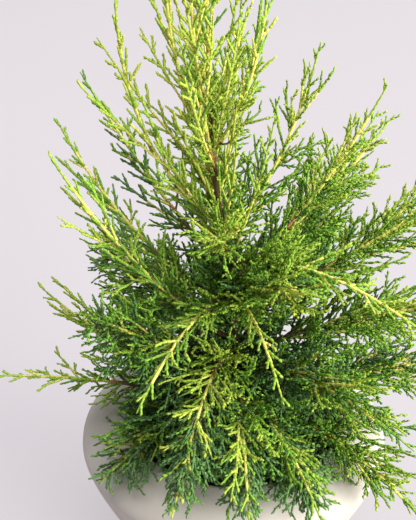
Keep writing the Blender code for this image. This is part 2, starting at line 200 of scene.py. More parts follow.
@dataclass(frozen=True)
class ScaleLeaf:
    """Juniper scale leaf, grown: overlapping 1.5 mm scales with a paler margin under a thin wax,
    so a shoot reads as soft satin beads and not as a smooth rod."""

    name: str
    face: str
    margin: str
    scale_size: float = 1.5 * MILLIMETRE
    drift_size: float = 14 * MILLIMETRE
    roughness: float = 0.56
    specular: float = 0.20

    def material(self) -> bpy.types.Material:
        """Builds the node material."""
        material, tree, place = blank_material(self.name)
        scales = add_node(tree, "ShaderNodeTexVoronoi", {"Scale": 1.0 / self.scale_size, "Randomness": 0.8},
                          {"Vector": place})
        drift = add_node(tree, "ShaderNodeTexNoise", {"Scale": 1.0 / self.drift_size, "Detail": 2.0},
                         {"Vector": place})
        rim = add_node(tree, "ShaderNodeMapRange", {"From Min": 0.25, "From Max": 0.75, "To Max": 0.55},
                       {"Value": scales})
        slow = add_node(tree, "ShaderNodeMapRange", {"From Min": 0.35, "From Max": 0.65, "To Max": 0.45},
                        {"Value": drift})
        paling = add_node(tree, "ShaderNodeMath", {"operation": "ADD", "use_clamp": True}, {0: rim, 1: slow})
        colours = {"data_type": "RGBA", "A": linear(self.face), "B": linear(self.margin)}
        colour = add_node(tree, "ShaderNodeMix", colours, {"Factor": paling})
        relief = {"Strength": 0.35, "Distance": 0.2 * MILLIMETRE, "invert": True}
        bump = add_node(tree, "ShaderNodeBump", relief, {"Height": scales})
        shader = add_node(tree, "ShaderNodeBsdfPrincipled",
                          {"Roughness": self.roughness, "Specular IOR Level": self.specular},
                          {"Base Color": colour, "Normal": bump})
        add_node(tree, "ShaderNodeOutputMaterial", {}, {"Surface": shader})
        return material


@dataclass(frozen=True)
class Grained:
    """A finish whose one grain, of a real size, mixes two colours and stands in relief."""

    name: str
    base: str
    fleck: str
    grain: float
    detail: float
    breakup: float
    mix: tuple[float, float]
    strength: float
    relief: float
    roughness: float
    ior: float = 1.5
    warp: float = 0.0
    upright: float = 1.0

    def material(self) -> bpy.types.Material:
        """Builds the node material."""
        material, tree, place = blank_material(self.name)
        drawn = add_node(tree, "ShaderNodeMapping", {"Scale": (1.0, 1.0, self.upright)}, {"Vector": place})
        pattern = {"Scale": 1.0 / self.grain, "Detail": self.detail, "Roughness": self.breakup,
                   "Distortion": self.warp}
        grain = add_node(tree, "ShaderNodeTexNoise", pattern, {"Vector": drawn})
        low, high = self.mix
        share = add_node(tree, "ShaderNodeMapRange", {"From Min": low, "From Max": high}, {"Value": grain})
        colours = {"data_type": "RGBA", "A": linear(self.base), "B": linear(self.fleck)}
        colour = add_node(tree, "ShaderNodeMix", colours, {"Factor": share})
        bump = add_node(tree, "ShaderNodeBump", {"Strength": self.strength, "Distance": self.relief},
                        {"Height": grain})
        shader = add_node(tree, "ShaderNodeBsdfPrincipled", {"Roughness": self.roughness, "IOR": self.ior},
                          {"Base Color": colour, "Normal": bump})
        add_node(tree, "ShaderNodeOutputMaterial", {}, {"Surface": shader})
        return material


@dataclass(frozen=True)
class YoungStem(Grained):
    """Soft young juniper stem, grown: a waxy yellow or orange-brown skin with darker creases where
    the pressed-down scales end, so it shines a little more than the foliage."""

    grain: float = 2.2 * MILLIMETRE
    detail: float = 3.0
    breakup: float = 0.6
    mix: tuple[float, float] = (0.42, 0.66)
    strength: float = 0.3
    relief: float = 0.15 * MILLIMETRE
    roughness: float = 0.46
    ior: float = 1.46


@dataclass(frozen=True)
class FlakingBark(Grained):
    """Juniper bark, grown: thin dry strips that lift and show a redder layer, so it is dull, with
    grey-brown flakes over cinnamon, drawn out upwards."""

    grain: float = 3.5 * MILLIMETRE
    detail: float = 6.0
    breakup: float = 0.65
    mix: tuple[float, float] = (0.4, 0.6)
    strength: float = 0.6
    relief: float = 0.4 * MILLIMETRE
    roughness: float = 0.86
    warp: float = 0.4
    upright: float = 0.3


@dataclass(frozen=True)
class BarkCompost(Grained):
    """Composted bark and peat, milled: near black when damp, with browner fibres of a few
    millimetres, and no shine."""

    grain: float = 2.5 * MILLIMETRE
    detail: float = 5.0
    breakup: float = 0.7
    mix: tuple[float, float] = (0.42, 0.68)
    strength: float = 0.7
    relief: float = 0.6 * MILLIMETRE
    roughness: float = 0.95


@dataclass(frozen=True)
class MatteClay:
    """Stoneware with a matt white engobe, turned and sprayed: chalky and even, with a fine eggshell
    grain of about 0.4 mm that only breaks the highlight."""

    name: str = "stoneware_matt_white_engobe"
    coat: str = "#C7C1B9"
    worn: str = "#BDB6AD"
    grain: float = 0.4 * MILLIMETRE
    clouding: float = 45 * MILLIMETRE
    roughness: float = 0.72
    ior: float = 1.5

    def material(self) -> bpy.types.Material:
        """Builds the node material."""
        material, tree, place = blank_material(self.name)
        cloud = add_node(tree, "ShaderNodeTexNoise", {"Scale": 1.0 / self.clouding, "Detail": 3.0},
                         {"Vector": place})
        fine = add_node(tree, "ShaderNodeTexNoise", {"Scale": 1.0 / self.grain, "Detail": 2.0},
                        {"Vector": place})
        share = add_node(tree, "ShaderNodeMapRange", {"From Min": 0.35, "From Max": 0.7}, {"Value": cloud})
        colours = {"data_type": "RGBA", "A": linear(self.coat), "B": linear(self.worn)}
        colour = add_node(tree, "ShaderNodeMix", colours, {"Factor": share})
        bump = add_node(tree, "ShaderNodeBump", {"Strength": 0.12, "Distance": 0.1 * MILLIMETRE},
                        {"Height": fine})
        shader = add_node(tree, "ShaderNodeBsdfPrincipled", {"Roughness": self.roughness, "IOR": self.ior},
                          {"Base Color": colour, "Normal": bump})
        add_node(tree, "ShaderNodeOutputMaterial", {}, {"Surface": shader})
        return material


@dataclass(frozen=True)
class OpalAcrylic:
    """Opal acrylic of a studio light table, cast and lit from under: a dead matt off-white
    whose own glow keeps shadows on it pale."""

    name: str = "opal_acrylic_light_table"
    sheet: str = "#777477"
    shade: str = "#747174"
    glow: str = "#F6F0F4"
    glow_strength: float = 0.53
    cloud: float = 0.5
    roughness: float = 0.95
    specular: float = 0.1

    def material(self) -> bpy.types.Material:
        """Builds the node material."""
        material, tree, place = blank_material(self.name)
        drift = add_node(tree, "ShaderNodeTexNoise", {"Scale": 1.0 / self.cloud, "Detail": 1.0},
                         {"Vector": place})
        colours = {"data_type": "RGBA", "A": linear(self.sheet), "B": linear(self.shade)}
        colour = add_node(tree, "ShaderNodeMix", colours, {"Factor": drift})
        settings = {"Roughness": self.roughness, "Specular IOR Level": self.specular,
                    "Emission Color": linear(self.glow), "Emission Strength": self.glow_strength}
        shader = add_node(tree, "ShaderNodeBsdfPrincipled", settings, {"Base Color": colour})
        add_node(tree, "ShaderNodeOutputMaterial", {}, {"Surface": shader})
        return material


class Tint(Enum):
    """The tints of foliage, from the palest tips to the bluest shaded sprays."""

    LIME = ScaleLeaf("juniper_scale_lime", "#AEBA3C", "#C4C85A")
    BRIGHT = ScaleLeaf("juniper_scale_bright", "#9CB038", "#B0C04E")
    LEAF = ScaleLeaf("juniper_scale_leaf_green", "#88A634", "#A0B648")
    GRASS = ScaleLeaf("juniper_scale_grass_green", "#739E2C", "#8EB240")
    # The two darkest tints stand partly for the greener inner foliage and partly for painted shade, since the
    # shade zone and the hanging fans are dealt them.
    DEEP = ScaleLeaf("juniper_scale_deep_green", "#558428", "#709C38")
    SHADED = ScaleLeaf("juniper_scale_shaded_blue_green", "#4A7039", "#668C50")


TINT_STEPS = (0.80, 0.62, 0.44, 0.28, 0.13)


class Stem(Enum):
    """The skins of the leading stems, from the ripe wood end to the growing end."""

    RIPE = YoungStem("juniper_stem_orange_brown", "#B57C48", "#8A5430")
    GOLDEN = YoungStem("juniper_stem_golden", "#DAD46A", "#C6BC52")
    FRESH = YoungStem("juniper_stem_yellow_green", "#A9B84A", "#8AA03A")
    DUSKY = YoungStem("juniper_stem_dusky_green", "#5F6E38", "#4A5A2C")


@dataclass(frozen=True)
class Limb:
    """One limb: foot is its height on the trunk, azimuth turns from +X towards +Y, reach and tip
    are the run out and the height of its furthest shoot, rise is the angle at which it leaves,
    wood is the share that is bough, spread is its longest side twig, and tone is how golden its
    foliage is, from 0 for blue-green to 1 for lime."""

    name: str
    foot: float
    azimuth: float
    reach: float
    tip: float
    rise: float
    wood: float
    spread: float
    tone: float


TRUNK_TOP = 0.392
LIMBS = (
    Limb("left_low", 0.140, 180, 0.182, 0.160, 14, 0.46, 0.034, 0.62),
    Limb("left_rise", 0.152, 170, 0.148, 0.226, 6, 0.42, 0.026, 0.58),
    Limb("left_mid", 0.196, 192, 0.122, 0.362, 42, 0.36, 0.026, 0.56),
    Limb("left_high", 0.226, 160, 0.132, 0.352, 22, 0.34, 0.028, 0.54),
    Limb("left_back", 0.252, 144, 0.134, 0.372, 34, 0.32, 0.032, 0.36),
    Limb("left_top", 0.290, 186, 0.066, 0.476, 42, 0.00, 0.032, 0.74),
    Limb("top_left", 0.318, 165, 0.036, 0.486, 66, 0.00, 0.032, 0.76),
    Limb("top_front", 0.334, 240, 0.030, 0.512, 70, 0.00, 0.032, 0.74),
    Limb("leader", TRUNK_TOP, 95, 0.010, 0.498, 86, 0.00, 0.032, 0.70),
    Limb("top_right", 0.346, 335, 0.036, 0.474, 58, 0.00, 0.032, 0.68),
    Limb("top_back", 0.304, 78, 0.060, 0.446, 52, 0.00, 0.034, 0.60),
    Limb("right_top", 0.276, 30, 0.070, 0.414, 48, 0.00, 0.036, 0.52),
    Limb("right_high", 0.246, 18, 0.108, 0.386, 40, 0.30, 0.038, 0.52),
    Limb("right_back", 0.222, 42, 0.160, 0.330, 34, 0.34, 0.052, 0.46),
    Limb("right_upper", 0.210, 6, 0.168, 0.318, 38, 0.34, 0.052, 0.46),
    Limb("right_mid", 0.184, 348, 0.176, 0.262, 34, 0.36, 0.052, 0.46),
    Limb("right_arch", 0.262, 327, 0.158, 0.262, 30, 0.30, 0.036, 0.62),
    Limb("right_low", 0.146, 0, 0.182, 0.172, 22, 0.42, 0.050, 0.36),
    Limb("right_front", 0.170, 318, 0.160, 0.190, 38, 0.34, 0.050, 0.38),
    Limb("right_hang", 0.138, 325, 0.166, 0.112, 26, 0.44, 0.046, 0.38),
    Limb("front_right", 0.150, 296, 0.138, 0.140, 38, 0.40, 0.046, 0.46),
    Limb("front_centre", 0.160, 275, 0.134, 0.146, 42, 0.38, 0.044, 0.56),
    Limb("front_left", 0.190, 253, 0.134, 0.146, 36, 0.36, 0.044, 0.80),
    Limb("front_hang", 0.144, 222, 0.126, 0.132, 34, 0.42, 0.044, 0.36),
    Limb("front_arch", 0.232, 288, 0.112, 0.226, 42, 0.00, 0.024, 0.62),
    Limb("front_drape", 0.236, 240, 0.120, 0.214, 26, 0.30, 0.022, 0.61),
    Limb("left_front", 0.172, 206, 0.112, 0.254, 34, 0.34, 0.046, 0.40),
    Limb("front_upper", 0.272, 262, 0.078, 0.330, 46, 0.00, 0.046, 0.58),
    Limb("right_inner", 0.238, 306, 0.104, 0.292, 40, 0.00, 0.046, 0.50),
    Limb("back_left", 0.166, 136, 0.158, 0.214, 30, 0.38, 0.052, 0.36),
    Limb("back_low", 0.156, 96, 0.164, 0.178, 30, 0.40, 0.052, 0.40),
    Limb("back_right", 0.176, 60, 0.164, 0.224, 32, 0.38, 0.052, 0.42),
    Limb("back_high", 0.236, 104, 0.124, 0.330, 40, 0.00, 0.052, 0.48),
)


def mesh_piece(name: str, points: Array, faces: Array, material: bpy.types.Material, slot: str,
               replaced: list[str]) -> None:
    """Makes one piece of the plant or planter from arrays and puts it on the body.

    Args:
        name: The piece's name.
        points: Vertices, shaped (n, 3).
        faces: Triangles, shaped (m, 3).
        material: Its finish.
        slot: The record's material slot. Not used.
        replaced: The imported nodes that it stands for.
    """
    mesh = bpy.data.meshes.new(name)
    mesh.vertices.add(len(points))
    mesh.vertices.foreach_set("co", points.astype(np.float32).ravel())
    mesh.loops.add(faces.size)
    mesh.loops.foreach_set("vertex_index", faces.astype(np.int32).ravel())
    mesh.polygons.add(len(faces))
    mesh.polygons.foreach_set("loop_start", np.arange(0, faces.size, 3, dtype=np.int32))
    mesh.update(calc_edges=True)
    mesh.validate()
    mesh.shade_smooth()
    mesh.materials.append(material)
    piece = bpy.data.objects.new(name, mesh)
    bpy.context.scene.collection.objects.link(piece)
    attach(piece, "root")
    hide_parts(*replaced)
    LOG.info("%s: %d triangles", name, len(faces))


def joined(parts: list[tuple[Array, Array]]) -> tuple[Array, Array]:
    """Joins meshes into one.

    Args:
        parts: Vertices and faces of each.

    Returns:
        The vertices and faces of all.
    """
    starts = np.cumsum([0] + [len(points) for points, _ in parts[:-1]])
    faces = [face + start for (_, face), start in zip(parts, starts)]
    return np.concatenate([points for points, _ in parts]), np.concatenate(faces)


def wall_faces(rings: int, around: int) -> list[Array]:
    """Triangles of a tube's wall, for rings that turn left seen from its start.

    Args:
        rings: How many rings the tube has, numbered from its start.
        around: How many points each ring has.

    Returns:
        Triangles facing out, two arrays for each pair of rings.
    """
    here = np.arange(around)
    after = (here + 1) % around
    faces = []
    for low in range(0, (rings - 1) * around, around):
        high = low + around
        faces.append(np.stack([low + here, low + after, high + after], 1))
        faces.append(np.stack([low + here, high + after, high + here], 1))
    return faces


def turned(profile: Array, steps: int) -> tuple[Array, Array]:
    """A closed solid of revolution from a profile that starts and ends on the axis.

    Args:
        profile: Radius and height pairs, shaped (n, 2), running down the outer side.
        steps: How many sections one turn has.

    Returns:
        Vertices and triangles.
    """
    turns = np.linspace(0.0, math.tau, steps, endpoint=False)
    ring = profile[1:-1]
    circle = np.stack([np.cos(turns), np.sin(turns)], axis=1)
    flat = ring[:, None, :1] * circle[None]
    heights = np.broadcast_to(ring[:, None, 1:], flat.shape[:2] + (1,))
    points = np.concatenate([flat, heights], axis=2).reshape(-1, 3)
    ends = np.array([[0.0, 0.0, profile[0, 1]], [0.0, 0.0, profile[-1, 1]]])
    here = np.arange(steps)
    after = (here + 1) % steps
    last_ring = (len(ring) - 1) * steps
    faces = [wall[:, ::-1] for wall in wall_faces(len(ring), steps)]
    faces.append(np.stack([np.full(steps, len(points)), here, after], 1))
    faces.append(np.stack([np.full(steps, len(points) + 1), last_ring + after, last_ring + here], 1))
    return np.concatenate([points, ends]), np.concatenate(faces)


@dataclass
class Planter:
    """The bowl: it swells just under a small rolled lip and tapers to a flat foot."""

    height: float = 0.130
    mouth_radius: float = 0.085
    belly_radius: float = 0.116
    belly_depth: float = 0.022
    foot_radius: float = 0.058
    taper_power: float = 1.2
    wall: float = 0.005
    floor: float = 0.008
    floor_fillet: float = 0.0075
    lip_radius: float = 0.0025
    foot_round: float = 0.0012
    shoulder_from: float = 0.14
    shoulder_rows: int = 10
    taper_crowding: float = 1.15
    taper_rows: int = 26
    floor_clearance: float = 0.004
    lip_rows: int = 9
    foot_rows: int = 5
    steps: int = 144

    def radius(self, heights: Array) -> Array:
        """Outer radius at these heights, from the foot to the lip."""
        belly = self.height - self.belly_depth
        drop = self.belly_depth / math.sqrt(1.0 - (self.mouth_radius / self.belly_radius) ** 2)
        z = np.clip(np.asarray(heights, float), 0.0, self.height)
        rise = np.maximum(z - belly, 0.0) / drop
        upper = self.belly_radius * np.sqrt(np.maximum(0.0, 1.0 - rise**2))
        share = np.clip((belly - z) / belly, 0.0, 1.0)
        swell = (1.0 - share**self.taper_power) ** (1.0 / self.taper_power)
        lower = self.foot_radius + (self.belly_radius - self.foot_radius) * swell
        return np.where(z >= belly, upper, lower)

    def profile(self) -> Array:
        """Radius and height pairs from the middle of the floor over the lip to the foot."""
        belly = self.height - self.belly_depth
        shoulder = self.height - self.belly_depth * np.linspace(self.shoulder_from, 1.0, self.shoulder_rows)
        taper = belly * (1.0 - np.linspace(0.0, 1.0, self.taper_rows)[1:] ** self.taper_crowding)
        outer = np.concatenate([shoulder, taper[:-1]])
        inner = outer[outer > self.floor + self.floor_clearance][::-1]
        lip_turns = np.radians(np.linspace(180, 45, self.lip_rows))
        lip_centre = np.array([self.mouth_radius - self.lip_radius, self.height - self.lip_radius])
        lip = lip_centre + self.lip_radius * np.column_stack([np.cos(lip_turns), np.sin(lip_turns)])
        foot_turns = np.radians(np.linspace(0, -90, self.foot_rows))
        foot_centre = [self.foot_radius - self.foot_round, self.foot_round]
        foot = foot_centre + self.foot_round * np.column_stack([np.cos(foot_turns), np.sin(foot_turns)])
        floor_radius = self.radius(self.floor) - self.wall - self.floor_fillet
        base = [[0.0, self.floor], [floor_radius, self.floor]]
        inside = np.column_stack([self.radius(inner) - self.wall, inner])
        outside = np.column_stack([self.radius(outer), outer])
        return np.concatenate([base, inside, lip, outside, foot, [[0.0, 0.0]]])

    def build(self) -> None:
        """Turns the profile and dresses it in matt white."""
        points, faces = turned(self.profile(), self.steps)
        mesh_piece("planter_bowl", points, faces, MatteClay().material(), "pot_clay", ["pot"])


@dataclass
class Compost:
    """The compost: a crumbled top a little under the lip, with bark chips lying in it."""

    planter: Planter
    top: float = SOIL_TOP
    dip: float = 0.0015
    level_radius: float = 0.035
    relief: float = 0.0011
    coarse_crumb: float = 0.009
    fine_crumb: float = 0.0032
    coarse_share: float = 0.9
    fine_share: float = 0.6
    crumb_sink: float = 0.5
    crumbled: float = 1.2
    rings: int = 44
    side_rows: int = 12
    steps: int = 120
    chips: int = 420
    chip_seed: int = 900
    chip_spread: tuple[float, float] = (0.02, 1.0)
    chip_margin: float = 0.006
    chip_rise: float = 0.0004
    chip_length: tuple[float, float] = (0.003, 0.009)
    chip_width: tuple[float, float] = (0.28, 0.6)
    chip_thickness: tuple[float, float] = (0.12, 0.26)
    chip_tilt: float = 0.35
    chip_ragged: float = 0.25
    chip_bevel: float = 0.78
    chip_outline: tuple[tuple[float, float], ...] = (
        (-0.5, -0.2), (-0.2, -0.5), (0.35, -0.45), (0.5, 0.1), (0.2, 0.5), (-0.35, 0.4))

    def surface(self, radii: Array) -> Array:
        """Height of the top at these distances from the axis, before any crumbs."""
        edge = self.edge_radius()
        share = np.clip((radii - self.level_radius) / (edge - self.level_radius), 0.0, 1.0)
        return self.top - self.dip * share

    def edge_radius(self) -> float:
        """Where the top meets the planter's wall."""
        return float(self.planter.radius(self.top - self.dip)) - self.planter.wall - 2.0 * GAP

    def crumb_height(self, x: float, y: float) -> float:
        """Relief at a place on the top, by two sizes of crumb."""
        coarse = noise.noise(Vector((x, y, 0.3)) / self.coarse_crumb)
        fine = noise.noise(Vector((x, y, 0.7)) / self.fine_crumb)
        return self.relief * (self.coarse_share * coarse + self.fine_share * fine - self.crumb_sink)

    def body(self) -> tuple[Array, Array]:
        """The compost itself, from the middle of its top down the wall to the planter's floor."""
        radii = np.linspace(0.0, self.edge_radius(), self.rings)
        top = np.column_stack([radii, self.surface(radii)])
        heights = np.linspace(self.top - self.dip, self.planter.floor + GAP, self.side_rows)[1:]
        side = np.column_stack([self.planter.radius(heights) - self.planter.wall - 2.0 * GAP, heights])
        side[-1, 0] -= self.planter.floor_fillet
        points, faces = turned(np.concatenate([top, side, [[0.0, self.planter.floor + GAP]]]), self.steps)
        for n in np.flatnonzero(points[:, 2] > self.top - self.crumbled * self.dip):
            points[n, 2] += self.crumb_height(points[n, 0], points[n, 1])
        return points, faces

    def chip_meshes(self) -> tuple[Array, Array]:
        """Flat splinters of bark, each a six-cornered chip with uneven ends, pressed into the top."""
        rng = np.random.default_rng([SEED, self.chip_seed])
        count = self.chips
        radius = (self.edge_radius() - self.chip_margin) * np.sqrt(rng.uniform(*self.chip_spread, count))
        angle = rng.uniform(0.0, math.tau, count)
        length = rng.uniform(*self.chip_length, count)
        width = length * rng.uniform(*self.chip_width, count)
        thick = length * rng.uniform(*self.chip_thickness, count)
        turn = rng.uniform(0.0, math.tau, count)
        tilt = rng.uniform(-self.chip_tilt, self.chip_tilt, count)
        outline = np.array(self.chip_outline)
        corners = len(outline)
        ragged = outline[None] * (1.0 + rng.uniform(-self.chip_ragged, self.chip_ragged, (count, corners, 2)))
        flat = ragged * np.stack([length, width], 1)[:, None]
        layers = []
        for side, inset in ((-0.5, 1.0), (0.5, self.chip_bevel)):
            height = side * thick[:, None] + flat[:, :, 0] * inset * np.tan(tilt)[:, None]
            layers.append(np.concatenate([flat * inset, height[..., None]], axis=2))
        chip = np.concatenate(layers, axis=1)
        cos, sin = np.cos(turn)[:, None], np.sin(turn)[:, None]
        x = chip[..., 0] * cos - chip[..., 1] * sin + (radius * np.cos(angle))[:, None]
        y = chip[..., 0] * sin + chip[..., 1] * cos + (radius * np.sin(angle))[:, None]
        z = chip[..., 2] + (self.surface(radius) + self.chip_rise)[:, None]
        points = np.stack([x, y, z], axis=2).reshape(-1, 3)
        lids = [[0, k + 1, k] for k in range(1, corners - 1)]
        lids += [[corners, corners + k, corners + k + 1] for k in range(1, corners - 1)]
        pattern = np.concatenate(wall_faces(2, corners) + [np.array(lids)])
        faces = (pattern[None] + 2 * corners * np.arange(count)[:, None, None]).reshape(-1, 3)
        return points, faces

    def build(self) -> None:
        """Builds the compost and its chips."""
        peat = BarkCompost("damp_peat_compost", "#1B1511", "#3A2C22")
        bark = BarkCompost("milled_bark_chips", "#4A3526", "#2A1D15", grain=1.4 * MILLIMETRE)
        mesh_piece("compost_top", *self.body(), peat.material(), "compost", ["soil"])
        mesh_piece("bark_chips", *self.chip_meshes(), bark.material(), "compost", ["soil"])


@dataclass
class Skeleton:
    """The trunk's line and the limbs' routes, by the same sizes as the solids."""

    trunk_foot: float = SOIL_TOP + GAP
    foot_radius: float = 0.0066
    top_radius: float = 0.0013
    flare: float = 0.70
    flare_height: float = 0.010
    lean: tuple[float, float] = (-0.020, 0.010)
    sway: float = 0.0035
    taper_power: float = 0.85
    bough_share: float = 0.44
    bough_least: float = 0.0018
    bough_tip: float = 0.0015
    limbs: tuple[Limb, ...] = LIMBS
    controls: Array = field(init=False)
    starts: Array = field(init=False)

    def __post_init__(self) -> None:
        """Works out each limb's route and where its foliage stem begins."""
        self.controls = np.array([self.route_controls(limb) for limb in self.limbs])
        self.starts = np.array([self.stem_start(n) for n in range(len(self.limbs))])

    def trunk_point(self, z: Array) -> Array:
        """Centre of the trunk at these heights."""
        z = np.asarray(z, float)
        share = (z - self.trunk_foot) / (TRUNK_TOP - self.trunk_foot)
        sway = self.sway * np.sin(math.tau * share) * share
        return np.stack([self.lean[0] * share**2 + sway, self.lean[1] * share**2 - sway, z], axis=-1)

    def trunk_radius(self, z: Array) -> Array:
        """Radius of the trunk at these heights, root flare included."""
        z = np.asarray(z, float)
        share = np.clip((z - self.trunk_foot) / (TRUNK_TOP - self.trunk_foot), 0.0, 1.0)
        steady = self.foot_radius + (self.top_radius - self.foot_radius) * share**self.taper_power
        return steady * (1.0 + self.flare * np.exp(-(z - self.trunk_foot) / self.flare_height))

    def route_controls(self, limb: Limb) -> Array:
        """Control points of a limb's way from the trunk's axis to its furthest tip."""
        azimuth, rise = math.radians(limb.azimuth), math.radians(limb.rise)
        out = np.array([math.cos(azimuth), math.sin(azimuth), 0.0])
        start = self.trunk_point(limb.foot)
        end = start + out * limb.reach
        end[2] = limb.tip
        lead = 0.5 * np.linalg.norm(end - start)
        knee = start + lead * (out * math.cos(rise) + np.array([0.0, 0.0, math.sin(rise)]))
        return np.array([start, knee, end])

    def stem_start(self, number: int) -> float:
        """Share of a route at which the foliage stem begins, a gap past the bough's tip."""
        limb = self.limbs[number]
        if limb.wood == 0.0 and limb.foot < TRUNK_TOP:
            return 0.0
        step = 0.001
        pair = bezier(self.controls[number], np.array([limb.wood, limb.wood + step]))
        return limb.wood + step * GAP / float(np.linalg.norm(pair[1] - pair[0]))

    def bough_radii(self, limb: Limb, count: int) -> Array:
        """Radii along a bough, from the trunk to its tip."""
        foot = max(self.bough_least, self.bough_share * float(self.trunk_radius(limb.foot)))
        return np.linspace(foot, self.bough_tip, count)


@dataclass
class Wood:
    """Trunk and boughs with the relief of thin flaking bark."""

    skeleton: Skeleton
    trunk_around: int = 40
    trunk_rows: int = 300
    row_crowding: float = 1.15
    buried: float = 0.0012
    bough_around: int = 14
    bough_rows: int = 70
    bough_overlap: float = 0.01
    relief: float = 0.11
    ridge_level: float = 0.4
    flake_share: float = 0.5
    strip: float = 0.0030
    strip_length: float = 7.0
    flake_scale: float = 2.3
    flake_shift: float = 5.1
    key_rise: float = 0.37
    across: tuple[float, float, float] = (0.12, 1.0, 0.05)
    tip_cap: float = 0.5
    collar: float = 0.55
    collar_length: float = 0.006

    def bark_tube(self, centres: Array, radii: Array, around: int, key: float) -> tuple[Array, Array]:
        """Sweeps a limb with strips of lifted bark.

        Args:
            centres: Points along the limb, shaped (n, 3).
            radii: Its radius at each, shaped (n,).
            around: How many points each ring has.
            key: Moves the pattern, so that no two limbs have the same strips.

        Returns:
            Vertices and triangles of a closed tube.
        """
        along = unit(np.gradient(centres, axis=0))
        side = unit(np.cross(along, self.across))
        top = np.cross(along, side)
        turns = np.linspace(0.0, math.tau, around, endpoint=False)
        run = self.run_of(centres)
        points = np.empty((len(centres), around, 3))
        for row, (centre, radius) in enumerate(zip(centres, radii)):
            for column, turn in enumerate(turns):
                out = math.cos(turn) * side[row] + math.sin(turn) * top[row]
                spot = Vector((out[0] * radius, out[1] * radius, out[2] * radius)) / self.strip
                spot += Vector((key, run[row] / (self.strip_length * self.strip), key * self.key_rise))
                ridge = 1.0 - 2.0 * abs(noise.noise(spot))
                flake = noise.noise(spot * self.flake_scale + Vector((self.flake_shift, 0.0, key)))
                swell = 1.0 + self.relief * (ridge - self.ridge_level)
                swell += self.flake_share * self.relief * flake
                points[row, column] = centre + out * radius * swell
        here, after = np.arange(around), (np.arange(around) + 1) % around
        foot, tip = len(centres) * around, len(centres) * around + 1
        last_ring = (len(centres) - 1) * around
        faces = wall_faces(len(centres), around)
        faces.append(np.stack([np.full(around, foot), after, here], 1))
        faces.append(np.stack([np.full(around, tip), last_ring + here, last_ring + after], 1))
        ends = np.array([centres[0], centres[-1] + along[-1] * radii[-1] * self.tip_cap])
        return np.concatenate([points.reshape(-1, 3), ends]), np.concatenate(faces)

    @staticmethod
    def run_of(centres: Array) -> Array:
        """Length along a limb from its start to each of these points."""
        return np.concatenate([[0.0], np.cumsum(np.linalg.norm(np.diff(centres, axis=0), axis=1))])

    def trunk_mesh(self) -> tuple[Array, Array]:
        """The trunk from its level cut to its tip."""
        shares = np.linspace(0.0, 1.0, self.trunk_rows) ** self.row_crowding
        foot = self.skeleton.trunk_foot
        heights = foot - self.buried + shares * (TRUNK_TOP + self.buried - foot)
        centres, radii = self.skeleton.trunk_point(heights), self.skeleton.trunk_radius(heights)
        return self.bark_tube(centres, radii, self.trunk_around, 0.0)

    def bough_mesh(self, number: int, limb: Limb) -> tuple[Array, Array]:
        """One bough from the trunk's axis to where its foliage stem takes over."""
        shares = np.linspace(0.0, limb.wood + self.bough_overlap, self.bough_rows)
        centres = bezier(self.skeleton.controls[number], shares)
        radii = self.skeleton.bough_radii(limb, self.bough_rows)
        past = np.maximum(0.0, self.run_of(centres) - float(self.skeleton.trunk_radius(limb.foot)))
        collared = radii * (1.0 + self.collar * np.exp(-past / self.collar_length))
        return self.bark_tube(centres, collared, self.bough_around, 3.0 + number)

    def build(self) -> None:
        """Builds the trunk and the boughs."""
        old = FlakingBark("juniper_bark_flaking", "#5A4234", "#765242")
        young = FlakingBark("juniper_bark_young", "#5E4432", "#7E5E46", 2.4 * MILLIMETRE, roughness=0.78)
        mesh_piece("trunk_bark", *self.trunk_mesh(), old.material(), "bark", ["trunk"])
        boughs = [(n, limb) for n, limb in enumerate(self.skeleton.limbs) if limb.wood]
        points, faces = joined([self.bough_mesh(n, limb) for n, limb in boughs])
        stood_for = ["bough_" + limb.name for _, limb in boughs]
        mesh_piece("bough_bark", points, faces, young.material(), "young_bark", stood_for)


@dataclass
class Shoots:
    """Many shoots at once. Each is a quadratic curve, with the normal of the plane that its own
    side shoots lie in, the limb that carries it, and its tone from blue-green to lime."""

    controls: Array
    face: Array
    owner: Array
    tone: Array

    def __len__(self) -> int:
        """How many shoots there are."""
        return len(self.owner)

    def lengths(self) -> Array:
        """Length of each shoot, near enough for spacing."""
        legs = np.linalg.norm(np.diff(self.controls, axis=1), axis=2).sum(axis=1)
        chord = np.linalg.norm(self.controls[:, 2] - self.controls[:, 0], axis=1)
        return (legs + 2.0 * chord) / 3.0

    def pick(self, which: Array) -> "Shoots":
        """Some of the shoots, by mask or by number."""
        return Shoots(self.controls[which], self.face[which], self.owner[which], self.tone[which])

    def part(self, first: float, last: float) -> "Shoots":
        """The same stretch of every shoot, between two shares of its length."""
        count = len(self)
        controls = stretch(self.controls, np.full(count, first), np.full(count, last))
        return Shoots(controls, self.face, self.owner, self.tone)

    def shifted(self, tone: Array | float) -> "Shoots":
        """The same shoots with this added to their tones."""
        return Shoots(self.controls, self.face, self.owner, self.tone + tone)


def gathered(groups: list[Shoots]) -> Shoots:
    """Puts several groups of shoots into one."""
    return Shoots(np.concatenate([g.controls for g in groups]), np.concatenate([g.face for g in groups]),
                  np.concatenate([g.owner for g in groups]), np.concatenate([g.tone for g in groups]))


